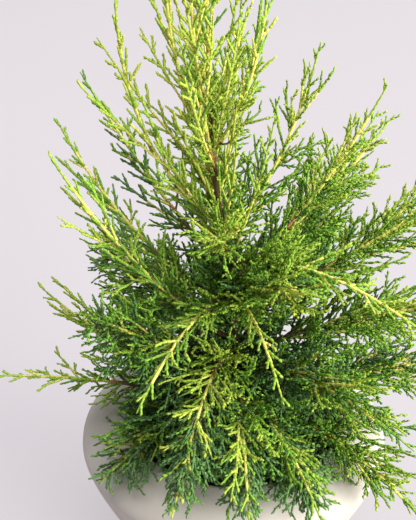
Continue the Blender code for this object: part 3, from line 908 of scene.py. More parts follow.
@dataclass
class Territory:
    """Who owns each place in the crown: the limb with the nearest route, clear of wood and planter."""

    skeleton: Skeleton
    planter: Planter
    starts: Array
    samples: int = 40
    batch: int = 3000
    beyond: float = 0.009
    stems: Array = field(init=False)
    wood: Array = field(init=False)
    wood_radii: Array = field(init=False)

    def __post_init__(self) -> None:
        """Samples the routes and the wood."""
        shares = np.linspace(self.starts, 1.0, self.samples, axis=1)
        self.stems = bezier(self.skeleton.controls[:, None], shares)
        heights = np.linspace(self.skeleton.trunk_foot, TRUNK_TOP, 4 * self.samples)
        places, radii = [self.skeleton.trunk_point(heights)], [self.skeleton.trunk_radius(heights)]
        for number, limb in enumerate(self.skeleton.limbs):
            if limb.wood:
                woody = np.linspace(0.0, limb.wood, self.samples)
                places.append(bezier(self.skeleton.controls[number], woody))
                radii.append(self.skeleton.bough_radii(limb, self.samples))
        self.wood = np.concatenate(places)
        self.wood_radii = np.concatenate(radii)

    def distances(self, points: Array) -> Array:
        """Distance from each point to each limb's route, shaped (points, limbs)."""
        samples = self.stems.reshape(-1, 3)
        squares = (points**2).sum(1)[:, None] + (samples**2).sum(1)[None] - 2.0 * points @ samples.T
        return np.sqrt(np.maximum(squares, 0.0)).reshape(len(points), len(self.stems), -1).min(axis=2)

    def lead_of_owner(self, points: Array, owners: Array) -> Array:
        """How much nearer each point is to its owner's route than to any other's."""
        nearest = self.distances(points)
        rows = np.arange(len(points))
        own = nearest[rows, owners].copy()
        nearest[rows, owners] = np.inf
        return nearest.min(axis=1) - own

    def clear_of_wood(self, points: Array, room: float) -> Array:
        """True where a point keeps this room to the trunk and every bough."""
        squares = (points**2).sum(1)[:, None] + (self.wood**2).sum(1)[None] - 2.0 * points @ self.wood.T
        return (np.sqrt(np.maximum(squares, 0.0)) >= self.wood_radii + room).all(axis=1)

    def clear_of_planter(self, points: Array, room: float) -> Array:
        """True outside the planter's wall, over its lip, or in its mouth above the compost."""
        radius, z = np.hypot(points[:, 0], points[:, 1]), points[:, 2]
        over = z > self.planter.height + room
        outside = (radius > self.planter.radius(z) + room) & (z >= room)
        mouth = (z > SOIL_TOP + room) & (radius < self.planter.mouth_radius - self.planter.wall - room)
        return over | outside | mouth

    def keeps(self, points: Array, owners: Array, room: float, lead: float) -> Array:
        """Tests many points at once.

        Args:
            points: Points shaped (n, 3).
            owners: The limb that each belongs to.
            room: Clearance to wood and planter.
            lead: How much nearer a point has to be to its own limb than to another. A lead under
                zero lets neighbours mingle by that much.

        Returns:
            A mask of the points that pass.
        """
        low, high = np.array(CAD_BOX[0]), np.array(CAD_BOX[1])
        passed = np.zeros(len(points), bool)
        for start in range(0, len(points), self.batch):
            some = slice(start, start + self.batch)
            spots = points[some]
            good = self.clear_of_planter(spots, room) & self.clear_of_wood(spots, room)
            good &= ((spots > low - self.beyond) & (spots < high + self.beyond)).all(axis=1)
            passed[some] = good & (self.lead_of_owner(spots, owners[some]) >= lead)
        return passed


@dataclass(frozen=True)
class GrowthRule:
    """How side shoots stand on their parent.

    The name seeds their draws. Spacing is along the parent, and they grow between the shares first
    and last of it. Angle is from the parent, in degrees, turn from one shoot to the next, and
    flatten how far they keep to the parent's plane, where 1 is not at all. Reach is the longest,
    least the shortest, of_parent the share of the parent's length that none passes, and of_rest,
    where it isn't 0, the share of what is left of the parent that each reaches. Thinning is the
    share that is missing out in the open crown. Lift raises them, bend turns them forward, and
    scatter, sway and twist vary length and angle, turn, and plane. Lead and room are what a shoot
    keeps clear, tone_gain and tone_noise how its tone goes along the parent and varies, at_tip the
    length of those at the parent's tip as a share of the longest, and sizes what is tried in turn.
    Free ones belong to the limb whose route is nearest to their ends, and others to their parent's.
    """

    name: str
    spacing: float
    angle: float
    reach: float
    least: float
    of_parent: float
    first: float = 0.0
    last: float = 1.0
    turn: float = GOLDEN_ANGLE
    flatten: float = 1.0
    of_rest: float = 0.0
    thinning: float = 0.0
    lift: float = 0.15
    bend: float = 0.45
    scatter: float = 0.22
    sway: float = 0.0
    twist: float = 0.45
    lead: float = -0.030
    room: float = 0.0012
    tone_gain: float = 0.0
    tone_noise: float = 0.05
    at_tip: float = 0.12
    sizes: tuple[float, ...] = (1.0, 0.72, 0.5)
    free: bool = False


@dataclass
class Growth:
    """Grows the crown, level by level, from the limbs' stems."""

    skeleton: Skeleton
    planter: Planter
    twigs: int = 7
    twig_first: float = 0.08
    twig_last: float = 0.90
    twig_angle: float = 48.0
    twig_scatter: float = 0.22
    twig_tone_gain: float = 0.22
    flatten: float = 0.65
    bend: float = 0.45
    lift: float = 0.15
    least_twig: float = 0.006
    plume_foot: float = 0.45
    plume_gain: float = 2.4
    plume_power: float = 0.7
    direction_step: float = 0.01
    twig_radius: float = 0.0009
    blade_length: float = 0.046
    blade_width: float = 0.019
    ridge_at: float = 0.22
    tip_blade: float = 0.8
    clear_at: tuple[float, ...] = (0.4, 0.7, 1.0)
    spray_sizes: tuple[float, ...] = (1.0, 0.8, 0.62)
    fine_from: float = 0.12
    heart: tuple[float, float, float] = (0.050, 0.0, 0.190)
    heart_size: tuple[float, float, float] = (0.145, 0.130, 0.120)
    open_from: float = 0.8
    open_gain: float = 1.4
    outer_share: float = 0.8
    jitter: tuple[float, float] = (0.2, 0.8)
    tone_pivot: float = 0.35
    teeth: tuple[tuple[float, float], ...] = ((0.50, 0.50), (0.43, 0.14), (0.83, 0.34), (0.70, 0.08))
    solid_places: Territory = field(init=False)
    fine_places: Territory = field(init=False)

    def __post_init__(self) -> None:
        """Lays out who owns each place, for the solids' twigs and for the finer shoots."""
        fine_starts = np.full(len(self.skeleton.limbs), self.fine_from)
        self.solid_places = Territory(self.skeleton, self.planter, self.skeleton.starts)
        self.fine_places = Territory(self.skeleton, self.planter, fine_starts)

    def plume(self, share: Array, at_tip: float = 0.12) -> Array:
        """Side twig length along a stem: full low down and short at the tip."""
        rise = np.minimum(1.0, self.plume_foot + self.plume_gain * share)
        return rise * (1.0 - share) ** self.plume_power + at_tip

    @staticmethod
    def across_of(along: Array) -> Array:
        """A level direction at right angles to each of these."""
        side = np.cross(along, [0.0, 0.0, 1.0])
        other = np.cross(along, [0.0, 1.0, 0.0])
        steep = np.linalg.norm(side, axis=-1, keepdims=True) < STEEP
        return unit(np.where(steep, other, side))

    @staticmethod
    def leaving(along: Array, side: Array, turn: Array, flatten: float, angle: Array) -> Array:
        """Directions of shoots that leave their parents, turned round them but flattened."""
        top = np.cross(side, along)
        across = unit(np.cos(turn)[:, None] * side + flatten * np.sin(turn)[:, None] * top)
        return np.cos(angle)[:, None] * along + np.sin(angle)[:, None] * across

    def openness(self, points: Array) -> Array:
        """How open the crown is at these points: 0 in its heart and 1 in its outermost reach."""
        away = np.linalg.norm((points - np.array(self.heart)) / np.array(self.heart_size), axis=1)
        return np.clip(self.open_gain * (away - self.open_from), 0.0, 1.0)

    def limb_shoots(self, starts: Array) -> Shoots:
        """Every limb, from where it starts as a share of its route, to its furthest tip."""
        count = len(self.skeleton.limbs)
        controls = stretch(self.skeleton.controls, starts, np.ones(count))
        along = heading(controls, np.full(count, 0.5))
        tones = np.array([limb.tone for limb in self.skeleton.limbs])
        return Shoots(controls, np.cross(self.across_of(along), along), np.arange(count), tones)

    def blade_corners(self, root: Array, run: Array, scale: float) -> Array:
        """Where the tip and teeth of one of the solids' blades are, which is what it keeps clear."""
        side = np.cross([0.0, 0.0, 1.0], run)
        if np.linalg.norm(side) < STEEP:
            side = np.cross([0.0, 1.0, 0.0], run)
        side = unit(side)
        flat = [(1.0, 0.0)] + [(a, s * w) for a, w in self.teeth for s in (1, -1)]
        corners = [a * self.blade_length * run + w * self.blade_width * side for a, w in flat]
        return np.array([root + scale * corner for corner in corners])

    def solid_twigs(self) -> Shoots:
        """The side twigs that the solids have, from the same draws and the same tests."""
        controls, faces, owners, tones = [], [], [], []
        for number, limb in enumerate(self.skeleton.limbs):
            rng = np.random.default_rng([SEED, number])
            route, first = self.skeleton.controls[number], self.skeleton.starts[number]
            length = float(np.linalg.norm(bezier(route, 1.0) - bezier(route, first)))
            last = 1.0 - (1.0 - first) * (1.0 - self.ridge_at) * self.tip_blade * self.blade_length / length
            turn = rng.uniform(0.0, math.tau)
            for share in np.linspace(self.twig_first, self.twig_last, self.twigs):
                turn += GOLDEN_ANGLE
                angle = self.twig_angle * (1.0 + self.twig_scatter * rng.uniform(-1.0, 1.0))
                longest = limb.spread * self.plume(share)
                reach = longest * (1.0 + self.twig_scatter * rng.uniform(-1.0, 1.0))
                place = first + (last - first) * share
                foot = bezier(route, place)
                pair = bezier(route, np.array([place - self.direction_step, place + self.direction_step]))
                along = unit(pair[1] - pair[0])
                side = self.across_of(along[None])
                ray = self.leaving(along[None], side, np.array([turn]), self.flatten, np.radians([angle]))[0]
                leave = unit(ray + np.array([0.0, 0.0, self.lift]))
                made = self.fit_spray(foot, along, leave, reach, number)
                if made is not None:
                    controls.append(made)
                    run = unit(made[2] - made[1])
                    faces.append(np.cross(run, unit(np.cross([0.0, 0.0, 1.0], run))))
                    owners.append(number)
                    tones.append(limb.tone + self.twig_tone_gain * (share - 0.5))
        return Shoots(np.array(controls), unit(np.array(faces)), np.array(owners), np.array(tones))

    def fit_spray(self, foot: Array, along: Array, leave: Array, reach: float, owner: int) -> Array | None:
        """Tries one of the solids' sprays at each size and returns its curve, or None if none fits."""
        places = self.solid_places
        room = self.twig_radius + 2.0 * GAP
        for size in self.spray_sizes:
            scale = min(size, reach * size / self.blade_length)
            bare = max(self.least_twig, reach * size - (1.0 - self.ridge_at) * self.blade_length * scale)
            end = foot + leave * bare
            run = unit(leave + self.bend * along)
            root = end - run * self.ridge_at * self.blade_length * scale
            outer = np.array([foot + (end - foot) * part for part in self.clear_at])
            tests = np.concatenate([outer, self.blade_corners(root, run, scale)])
            good = places.lead_of_owner(tests, np.full(len(tests), owner)) >= 2.0 * room
            good &= places.clear_of_wood(tests, 2.0 * room)
            if (good & places.clear_of_planter(tests, 2.0 * room)).all():
                return np.array([foot, end, root + run * self.blade_length * scale])
        return None

    def side_shoots(self, parents: Shoots, rule: GrowthRule, reach: Array | None = None) -> Shoots:
        """Grows side shoots on many parents at once.

        Args:
            parents: The shoots that carry them.
            rule: How they grow.
            reach: The longest for each parent, or None for the rule's own.

        Returns:
            The shoots that found room.
        """
        rng = np.random.default_rng([SEED, *rule.name.encode()])
        lengths = parents.lengths()
        span = rule.last - rule.first
        counts = np.maximum(np.rint(lengths * span / rule.spacing).astype(int), 1)
        parent = np.repeat(np.arange(len(parents)), counts)
        order = np.arange(counts.sum()) - np.repeat(np.cumsum(counts) - counts, counts)
        total = len(parent)
        share = rule.first + span * (order + rng.uniform(*self.jitter, total)) / counts[parent]
        in_two_rows = rule.turn == math.pi
        turn = np.zeros(total) if in_two_rows else rng.uniform(0.0, math.tau, len(parents))[parent]
        turn = turn + order * rule.turn + rng.normal(0.0, rule.sway, total)
        angle = np.radians(rule.angle * (1.0 + rule.scatter * rng.uniform(-1.0, 1.0, total)))
        longest = (np.full(len(parents), rule.reach) if reach is None else reach)[parent]
        if rule.of_rest:
            length = np.minimum(rule.of_rest * (1.0 - share) * lengths[parent], longest)
        else:
            length = np.minimum(longest * self.plume(share, rule.at_tip), rule.of_parent * lengths[parent])
        length = length * (1.0 + rule.scatter * rng.uniform(-1.0, 1.0, total))
        curve, plane = parents.controls[parent], parents.face[parent]
        foot, along = bezier(curve, share), heading(curve, share)
        side = unit(np.cross(along, plane))
        leave = unit(self.leaving(along, side, turn, rule.flatten, angle) + [0.0, 0.0, rule.lift])
        run = unit(leave + rule.bend * along)
        sag = rng.normal(0.0, rule.twist, total)[:, None]
        flat = unit(np.cross(run, np.cross(plane, run)))
        face = unit(np.cos(sag) * flat + np.sin(sag) * np.cross(run, flat))
        drift = rng.normal(0.0, rule.tone_noise, total)
        tone = parents.tone[parent] + rule.tone_gain * (share - self.tone_pivot) + drift
        grown = Shoots(np.zeros((total, 3, 3)), face, parents.owner[parent], tone)
        missing = rule.thinning * self.openness(foot + leave * (self.outer_share * length)[:, None])
        waiting = (length > rule.least) & (rng.uniform(0.0, 1.0, total) > missing)
        done = np.zeros(total, bool)
        for size in rule.sizes:
            tried = np.flatnonzero(waiting & ~done)
            half = 0.5 * (length[tried] * size)[:, None]
            knee = foot[tried] + leave[tried] * half
            end = knee + run[tried] * half
            owners = parents.owner[parent[tried]]
            if rule.free and len(end):
                owners = self.fine_places.distances(end).argmin(axis=1)
                grown.owner[tried] = owners
            good = self.fine_places.keeps(end, owners, rule.room, rule.lead)
            good[good] &= self.fine_places.keeps(knee[good], owners[good], rule.room, rule.lead)
            good &= length[tried] * size > rule.least
            placed = tried[good]
            grown.controls[placed] = np.stack([foot[placed], knee[good], end[good]], axis=1)
            done[placed] = True
        LOG.info("%s: %d of %d found room", rule.name, done.sum(), total)
        return grown.pick(done)


@dataclass(frozen=True)
class ScaleForm:
    """How scale leaves stand off a shoot: the length of one whorl, the radius where a scale's end
    stands out and where it is pressed down, how much of that is left at the tip, how many sides
    the shoot has, its fewest and most whorls, and where in a whorl the scale's end stands."""

    pitch: float
    wide: float
    narrow: float
    tip: float
    sides: int
    fewest: int
    most: int
    crest: float = 0.66

    def sweep(self, shoots: Shoots) -> tuple[Array, Array]:
        """Sweeps every shoot.

        Args:
            shoots: The curves.

        Returns:
            Vertices and triangles of them all, each a closed mesh.
        """
        whorls = np.clip(np.rint(shoots.lengths() / self.pitch).astype(int), self.fewest, self.most)
        alike = [(n, whorls == n) for n in range(self.fewest, self.most + 1)]
        return joined([self.sweep_alike(shoots.pick(which), n) for n, which in alike if which.any()])

    def sweep_alike(self, shoots: Shoots, whorls: int) -> tuple[Array, Array]:
        """Sweeps shoots that all have this many whorls."""
        sides, rings = self.sides, 2 * whorls
        shares = np.array([(n + crest) / whorls for n in range(whorls) for crest in (0.0, self.crest)])
        taper = 1.0 - (1.0 - self.tip) * shares
        radii = taper * np.tile([self.narrow, self.wide], whorls)
        offset = np.repeat(np.arange(whorls) * math.pi / sides, 2)
        turns = offset[:, None] + np.arange(sides) * math.tau / sides
        curves = shoots.controls[:, None]
        centres, along = bezier(curves, shares[None]), heading(curves, shares[None])
        side = unit(np.cross(along, shoots.face[:, None]))
        top = np.cross(along, side)
        cos, sin = np.cos(turns)[None, ..., None], np.sin(turns)[None, ..., None]
        ring = cos * side[:, :, None] + sin * top[:, :, None]
        points = centres[:, :, None] + radii[None, :, None, None] * ring
        tips = bezier(shoots.controls, np.ones(len(shoots)))
        count = rings * sides + 1
        points = np.concatenate([points.reshape(len(shoots), -1, 3), tips[:, None]], axis=1)
        here, after = np.arange(sides), (np.arange(sides) + 1) % sides
        last = (rings - 1) * sides
        pattern = wall_faces(rings, sides)
        pattern.append(np.stack([last + here, last + after, np.full(sides, count - 1)], 1))
        pattern.append(np.array([[0, k + 1, k] for k in range(1, sides - 1)]))
        faces = np.concatenate(pattern)
        offsets = count * np.arange(len(shoots))[:, None, None]
        return points.reshape(-1, 3), (faces[None] + offsets).reshape(-1, 3)


@dataclass
class Regions:
    """The parts of the crown, each as a mask of the limbs in it. Low and arching limbs leave the
    trunk under a height, golden ones have a tone over one, and a side lies between two azimuths."""

    skeleton: Skeleton
    low_under: float = 0.20
    arching_under: float = 0.27
    golden_over: float = 0.60
    front_side: tuple[float, float] = (200.0, 300.0)
    whip_side: tuple[float, float] = (245.0, 300.0)
    rear_side: tuple[float, float] = (40.0, 150.0)
    open_side: tuple[float, float] = (140.0, 200.0)
    low: Array = field(init=False)
    golden: Array = field(init=False)
    arching: Array = field(init=False)
    open: Array = field(init=False)
    whipped: Array = field(init=False)
    draped: Array = field(init=False)
    airy: Array = field(init=False)

    def __post_init__(self) -> None:
        """Sorts the limbs."""
        feet = np.array([limb.foot for limb in self.skeleton.limbs])
        self.low = feet < self.low_under
        self.golden = np.array([limb.tone for limb in self.skeleton.limbs]) > self.golden_over
        self.arching = self.golden & (feet < self.arching_under)
        self.open = self.facing(self.open_side)
        front = self.low & self.facing(self.front_side)
        self.whipped = front & self.facing(self.whip_side)
        self.draped = (front | self.low & self.facing(self.rear_side)) & ~self.arching & ~self.whipped
        self.airy = self.golden | self.open | self.whipped

    def facing(self, side: tuple[float, float]) -> Array:
        """The limbs that point to this side."""
        return np.array([side[0] < limb.azimuth < side[1] for limb in self.skeleton.limbs])


@dataclass
class Foliage:
    """All leaders, side twigs, branchlets and tips, joined by tint.

    A part is the stretch of a shoot, between two shares of its length, that carries something or
    wears a skin. A tone that is named alone is added to that of the shoots it is named after.
    """

    skeleton: Skeleton
    planter: Planter
    growth: Growth = field(init=False)
    regions: Regions = field(init=False)
    leader_rule: GrowthRule = GrowthRule(
        "leaders", spacing=0.010, angle=18, reach=0.120, least=0.026, of_parent=1.0, first=0.10, last=0.72,
        flatten=0.9, of_rest=0.80, thinning=0.80, lift=0.06, bend=0.55, scatter=0.3, lead=-0.016,
        tone_gain=0.25, tone_noise=0.12)
    inner_rule: GrowthRule = GrowthRule(
        "inner_fans", spacing=0.0037, angle=52, reach=0.040, least=0.010, of_parent=0.60, first=0.02,
        last=0.60, thinning=0.50, lead=-0.016, tone_gain=0.40)
    skirt_rule: GrowthRule = GrowthRule(
        "skirt_fans", spacing=0.0043, angle=62, reach=0.048, least=0.012, of_parent=0.70, first=0.05,
        last=0.90, thinning=0.3, lift=-0.12, lead=-0.026, tone_gain=0.15, tone_noise=0.06, free=True)
    trunk_rule: GrowthRule = GrowthRule(
        "trunk_fans", spacing=0.0010, angle=56, reach=0.050, least=0.012, of_parent=2.5, thinning=0.2,
        free=True)
    collar_rule: GrowthRule = GrowthRule(
        "collar_fans", spacing=0.0026, angle=34, reach=0.048, least=0.012, of_parent=2.5, thinning=0.2,
        tone_noise=0.08, free=True)
    fork_rule: GrowthRule = GrowthRule(
        "fork_fans", spacing=0.0020, angle=40, reach=0.034, least=0.008, of_parent=1.2, lead=-0.020,
        tone_noise=0.06)
    drape_rule: GrowthRule = GrowthRule(
        "drape_fans", spacing=0.0024, angle=55, reach=0.052, least=0.012, of_parent=0.70, first=0.28,
        last=0.97, lift=-0.45, bend=0.2, lead=-0.040, tone_gain=0.1, tone_noise=0.07, free=True)
    hang_rule: GrowthRule = GrowthRule(
        "hanging_fans", spacing=0.0016, angle=58, reach=0.054, least=0.012, of_parent=0.70, first=0.18,
        last=0.90, flatten=0.9, lift=-0.9, bend=0.3, lead=-0.040, tone_gain=0.1, tone_noise=0.07, free=True)
    whip_rule: GrowthRule = GrowthRule(
        "trunk_whips", spacing=0.0042, angle=40, reach=0.110, least=0.040, of_parent=12.0, of_rest=9.0,
        thinning=0.2, lift=0.2, bend=0.6, scatter=0.3, tone_noise=0.10, free=True)
    twig_rule: GrowthRule = GrowthRule(
        "twigs", spacing=0.0064, angle=35, reach=0.0195, least=0.0028, of_parent=0.42, first=0.06, last=0.97,
        turn=math.pi, flatten=0.7, thinning=0.22, lift=0.04, bend=0.12, scatter=0.14, sway=0.4, twist=0.25,
        lead=-0.026, room=0.0010, tone_gain=0.22, at_tip=0.28)
    arch_rule: GrowthRule = GrowthRule(
        "arch_twigs", spacing=0.0076, angle=30, reach=0.0175, least=0.0028, of_parent=0.42, first=0.08,
        last=0.97, turn=math.pi, flatten=0.6, thinning=0.15, lift=0.06, bend=0.15, scatter=0.20, sway=0.4,
        lead=-0.026, room=0.0010, tone_gain=0.30, at_tip=0.30)
    tip_rule: GrowthRule = GrowthRule(
        "tips", spacing=0.0037, angle=32, reach=0.0052, least=0.0016, of_parent=0.38, first=0.14, last=0.92,
        turn=math.pi, flatten=0.6, thinning=0.3, lift=0.02, bend=0.15, scatter=0.14, sway=0.25, twist=0.2,
        lead=-0.032, room=0.0008, tone_gain=0.06, tone_noise=0.025, sizes=(1.0, 0.6))
    bud_rule: GrowthRule = GrowthRule(
        "buds", spacing=0.0052, angle=30, reach=0.0056, least=0.0020, of_parent=0.40, first=0.20, last=0.92,
        turn=math.pi, flatten=0.7, thinning=0.2, lift=0.02, bend=0.15, scatter=0.2, sway=0.3, twist=0.2,
        lead=-0.032, room=0.0008, tone_gain=0.06, tone_noise=0.025, sizes=(1.0, 0.6))
    tip_form: ScaleForm = ScaleForm(
        pitch=0.0036, wide=0.00118, narrow=0.00080, tip=0.42, sides=3, fewest=1, most=3, crest=0.5)
    twig_form: ScaleForm = ScaleForm(
        pitch=0.0035, wide=0.00134, narrow=0.00088, tip=0.45, sides=3, fewest=2, most=7)
    spur_form: ScaleForm = ScaleForm(
        pitch=0.0037, wide=0.00152, narrow=0.00104, tip=0.50, sides=4, fewest=2, most=7, crest=0.7)
    whip_form: ScaleForm = ScaleForm(
        pitch=0.0038, wide=0.00138, narrow=0.00096, tip=0.45, sides=4, fewest=2, most=14)
    stem_form: ScaleForm = ScaleForm(
        pitch=0.0046, wide=0.00145, narrow=0.00115, tip=0.80, sides=5, fewest=2, most=24, crest=0.8)
    lead_form: ScaleForm = ScaleForm(
        pitch=0.0044, wide=0.00118, narrow=0.00092, tip=0.80, sides=4, fewest=2, most=20, crest=0.8)
    fan_form: ScaleForm = ScaleForm(
        pitch=0.0040, wide=0.00108, narrow=0.00086, tip=0.85, sides=3, fewest=1, most=12, crest=0.8)
    wood_first: float = 0.10
    stem_first: float = 0.04
    trunk_span: tuple[float, float] = (0.134, 0.386)
    trunk_parts: int = 12
    upper_trunk: float = 0.26
    trunk_heights: tuple[float, ...] = (0.14, 0.25, 0.37)
    trunk_tones: tuple[float, ...] = (0.08, 0.22, 0.48)
    leader_spread: float = 2.3
    twig_spread: float = 0.50
    hang_drop: float = 0.40
    inner_part: tuple[float, float] = (0.0, 0.45)
    fork_part: tuple[float, float] = (0.0, 0.35)
    skirt_part: tuple[float, float] = (0.0, 0.65)
    twig_part: tuple[float, float] = (0.3, 1.0)
    ripe_stem_part: tuple[float, float] = (0.0, 0.11)
    ripe_lead_part: tuple[float, float] = (0.0, 0.06)
    golden_stem_part: tuple[float, float] = (0.10, 0.80)
    golden_lead_part: tuple[float, float] = (0.05, 0.58)
    leafy_stem_part: tuple[float, float] = (0.78, 1.0)
    leafy_lead_part: tuple[float, float] = (0.56, 1.0)
    bare_fan_part: tuple[float, float] = (0.0, 0.52)
    leafy_fan_part: tuple[float, float] = (0.5, 1.0)
    # Painted shade: in this zone under the front of the crown the fans' tones drop by up to shade_depth, into
    # the darker tints.
    shade_centre: tuple[float, float, float] = (-0.040, -0.080, 0.150)
    shade_size: tuple[float, float, float] = (0.110, 0.090, 0.085)
    shade_depth: float = 0.23
    # Painted light: the share of shade_depth by which leaders in the shade zone are made paler.
    lit_share: float = 0.55
    route_tone: float = -0.20
    whip_tone: float = 0.16
    leader_tone: float = 0.08
    arching_tone: float = -0.12
    fan_tone: float = -0.04
    # Painted shade: the low base tone of the fans that hang under the front whips.
    hang_tone: float = 0.12
    hang_gain: float = 0.10
    arch_tone: float = 0.06
    spur_tone: float = -0.18
    fresh_above: float = 0.30

    def __post_init__(self) -> None:
        """Lays out the crown."""
        self.growth = Growth(self.skeleton, self.planter)
        self.regions = Regions(self.skeleton)

    @staticmethod
    def tint_of(tones: Array) -> Array:
        """The number of the tint that each tone gets, from 0 for the palest."""
        return sum((tones < step).astype(int) for step in TINT_STEPS)

    def routes(self) -> Shoots:
        """Each limb's whole way out of the trunk, wood and stem, which carries leaders and twigs."""
        limbs = self.skeleton.limbs
        firsts = np.array([self.wood_first if limb.wood else self.stem_first for limb in limbs])
        return self.growth.limb_shoots(firsts).shifted(self.route_tone)

    def shaded(self, shoots: Shoots) -> Array:
        """How deep each shoot lies in the painted shade under the front of the crown, up to 1."""
        away = (shoots.controls[:, 1] - np.array(self.shade_centre)) / np.array(self.shade_size)
        return np.exp(-((away**2).sum(axis=1)))

    def hanging(self, shoots: Shoots) -> Shoots:
        """Those of the shoots that hang well below where they start, so that they hide no whip."""
        drop = shoots.controls[:, 0, 2] - shoots.controls[:, 2, 2]
        return shoots.pick(drop > self.hang_drop * shoots.lengths())

    def trunk_lengths(self) -> Shoots:
        """The trunk in short lengths, each given to the limb that starts nearest to it."""
        heights = np.linspace(*self.trunk_span, self.trunk_parts + 1)
        first, last = heights[:-1], heights[1:]
        middle = (first + last) / 2.0
        ends = [self.skeleton.trunk_point(z) for z in (first, middle, last)]
        knee = 2.0 * ends[1] - (ends[0] + ends[2]) / 2.0
        controls = np.stack([ends[0], knee, ends[2]], axis=1)
        owners = self.growth.fine_places.distances(ends[1]).argmin(axis=1)
        turns = np.arange(len(first)) * GOLDEN_ANGLE
        faces = np.column_stack([np.cos(turns), np.sin(turns), np.zeros(len(first))])
        return Shoots(controls, faces, owners, np.interp(middle, self.trunk_heights, self.trunk_tones))

    def grow_leaders(self, routes: Shoots, trunk: Shoots) -> Shoots:
        """The leaders.

        Args:
            routes: Every limb's whole way.
            trunk: The upper lengths of the trunk.

        Returns:
            Leaders of the limbs, the solids' own twigs, and whips of the trunk.
        """
        whips = self.growth.side_shoots(trunk, self.whip_rule).shifted(self.whip_tone)
        straight, whipped = ~self.regions.arching, self.regions.whipped
        reach = self.leader_spread * np.array([limb.spread for limb in self.skeleton.limbs])[straight]
        leaders = self.growth.side_shoots(routes.pick(straight), self.leader_rule, reach=reach)
        every_second = np.arange(len(leaders)) % 2 == 0
        leaders = leaders.pick(~whipped[leaders.owner] | every_second)
        leaders = gathered([leaders, self.growth.solid_twigs(), whips])
        # Painted light: leaders standing in front of the painted shade get paler tones, as if lit.
        lit = self.lit_share * self.shade_depth * self.shaded(leaders)
        arching = self.regions.arching[leaders.owner]
        return leaders.shifted(self.leader_tone).shifted(lit).shifted(self.arching_tone * arching)

    def grow_fans(self, routes: Shoots, lower: Shoots, upper: Shoots) -> Shoots:
        """The short fans that fill the crown's inside and hang under its rim.

        Args:
            routes: Every limb's whole way.
            lower: The lower lengths of the trunk.
            upper: Its upper lengths.

        Returns:
            Fans of the trunk and of the limbs.
        """
        crown, close = self.regions, ~self.regions.open & ~self.regions.golden
        under = routes.pick(crown.whipped)
        # Painted shade: the fans hanging under the front whips are dealt low, dark tones.
        under.tone = self.hang_tone + self.hang_gain * under.tone
        grow = self.growth.side_shoots
        fans = gathered([
            grow(lower, self.trunk_rule),
            grow(upper, self.collar_rule),
            grow(routes.pick(crown.draped), self.drape_rule),
            self.hanging(grow(under, self.hang_rule)),
            grow(routes.pick(close), self.inner_rule),
            grow(routes.pick(~close).part(*self.inner_part), self.inner_rule),
            grow(routes.pick(crown.arching).part(*self.fork_part), self.fork_rule),
            grow(routes.pick(crown.draped), self.skirt_rule),
            grow(routes.pick(crown.low & ~crown.draped).part(*self.skirt_part), self.skirt_rule),
        ])
        # Painted shade: fans deep under the front of the crown are dealt darker tints.
        return fans.shifted(self.fan_tone).shifted(-self.shade_depth * self.shaded(fans))

    def grow_twigs(self, routes: Shoots, leaders: Shoots, fans: Shoots) -> tuple[Shoots, Shoots]:
        """The leafy side twigs.

        Args:
            routes: Every limb's whole way.
            leaders: The leaders.
            fans: The fans.

        Returns:
            Twigs where the crown is close, and the shorter spurs where it is airy.
        """
        airy = self.regions.airy
        close = routes.pick(~airy).part(*self.twig_part)
        carriers = gathered([close, leaders.pick(~airy[leaders.owner]), fans])
        spread = np.array([limb.spread for limb in self.skeleton.limbs])[carriers.owner]
        reach = np.minimum(self.twig_rule.reach, self.twig_spread * spread)
        arches = routes.pick(airy).part(*self.twig_part).shifted(self.arch_tone)
        arches = gathered([arches, leaders.pick(airy[leaders.owner])])
        twigs = self.growth.side_shoots(carriers, self.twig_rule, reach=reach)
        return twigs, self.growth.side_shoots(arches, self.arch_rule).shifted(self.spur_tone)

    def build(self) -> None:
        """Grows the crown and joins it into pieces."""
        stems, routes = self.growth.limb_shoots(self.skeleton.starts), self.routes()
        trunk = self.trunk_lengths()
        upper = trunk.controls[:, 1, 2] > self.upper_trunk
        leaders = self.grow_leaders(routes, trunk.pick(upper))
        fans = self.grow_fans(routes, trunk.pick(~upper), trunk.pick(upper))
        twigs, spurs = self.grow_twigs(routes, leaders, fans)
        tips = gathered([self.growth.side_shoots(twigs, self.tip_rule),
                         self.growth.side_shoots(spurs, self.bud_rule)])
        sides = len(twigs) + len(spurs)
        LOG.info("%d leaders, %d fans, %d twigs, %d tips", len(leaders), len(fans), sides, len(tips))
        leafy = [stems.part(*self.leafy_stem_part), leaders.part(*self.leafy_lead_part),
                 fans.part(*self.leafy_fan_part)]
        self.dress_leaves([(self.tip_form, tips), (self.twig_form, twigs), (self.spur_form, spurs)]
                          + [(self.whip_form, shoots) for shoots in leafy])
        self.dress_stems(stems, leaders, fans)

    def dress_leaves(self, groups: list[tuple[ScaleForm, Shoots]]) -> None:
        """Joins leafy shoots into one piece for each tint, or more where one would be too big."""
        names = ["foliage_" + limb.name for limb in self.skeleton.limbs]
        for number, tint in enumerate(Tint):
            dealt = [(form, shoots.pick(self.tint_of(shoots.tone) == number)) for form, shoots in groups]
            dealt = [(form, some) for form, some in dealt if len(some)]
            stood_for = [names[o] for o in np.unique(np.concatenate([some.owner for _, some in dealt]))]
            slot = "golden_foliage" if tint in (Tint.LIME, Tint.BRIGHT) else "green_foliage"
            points, faces = joined([form.sweep(some) for form, some in dealt])
            pieces = math.ceil(len(faces) / PIECE_TRIANGLES)
            skin = tint.value.material()
            for n, some_faces in enumerate(np.array_split(faces, pieces)):
                used, packed = np.unique(some_faces, return_inverse=True)
                name = f"sprays_{tint.name.lower()}" + (f"_{n + 1}" if pieces > 1 else "")
                mesh_piece(name, points[used], packed.reshape(-1, 3), skin, slot, stood_for)

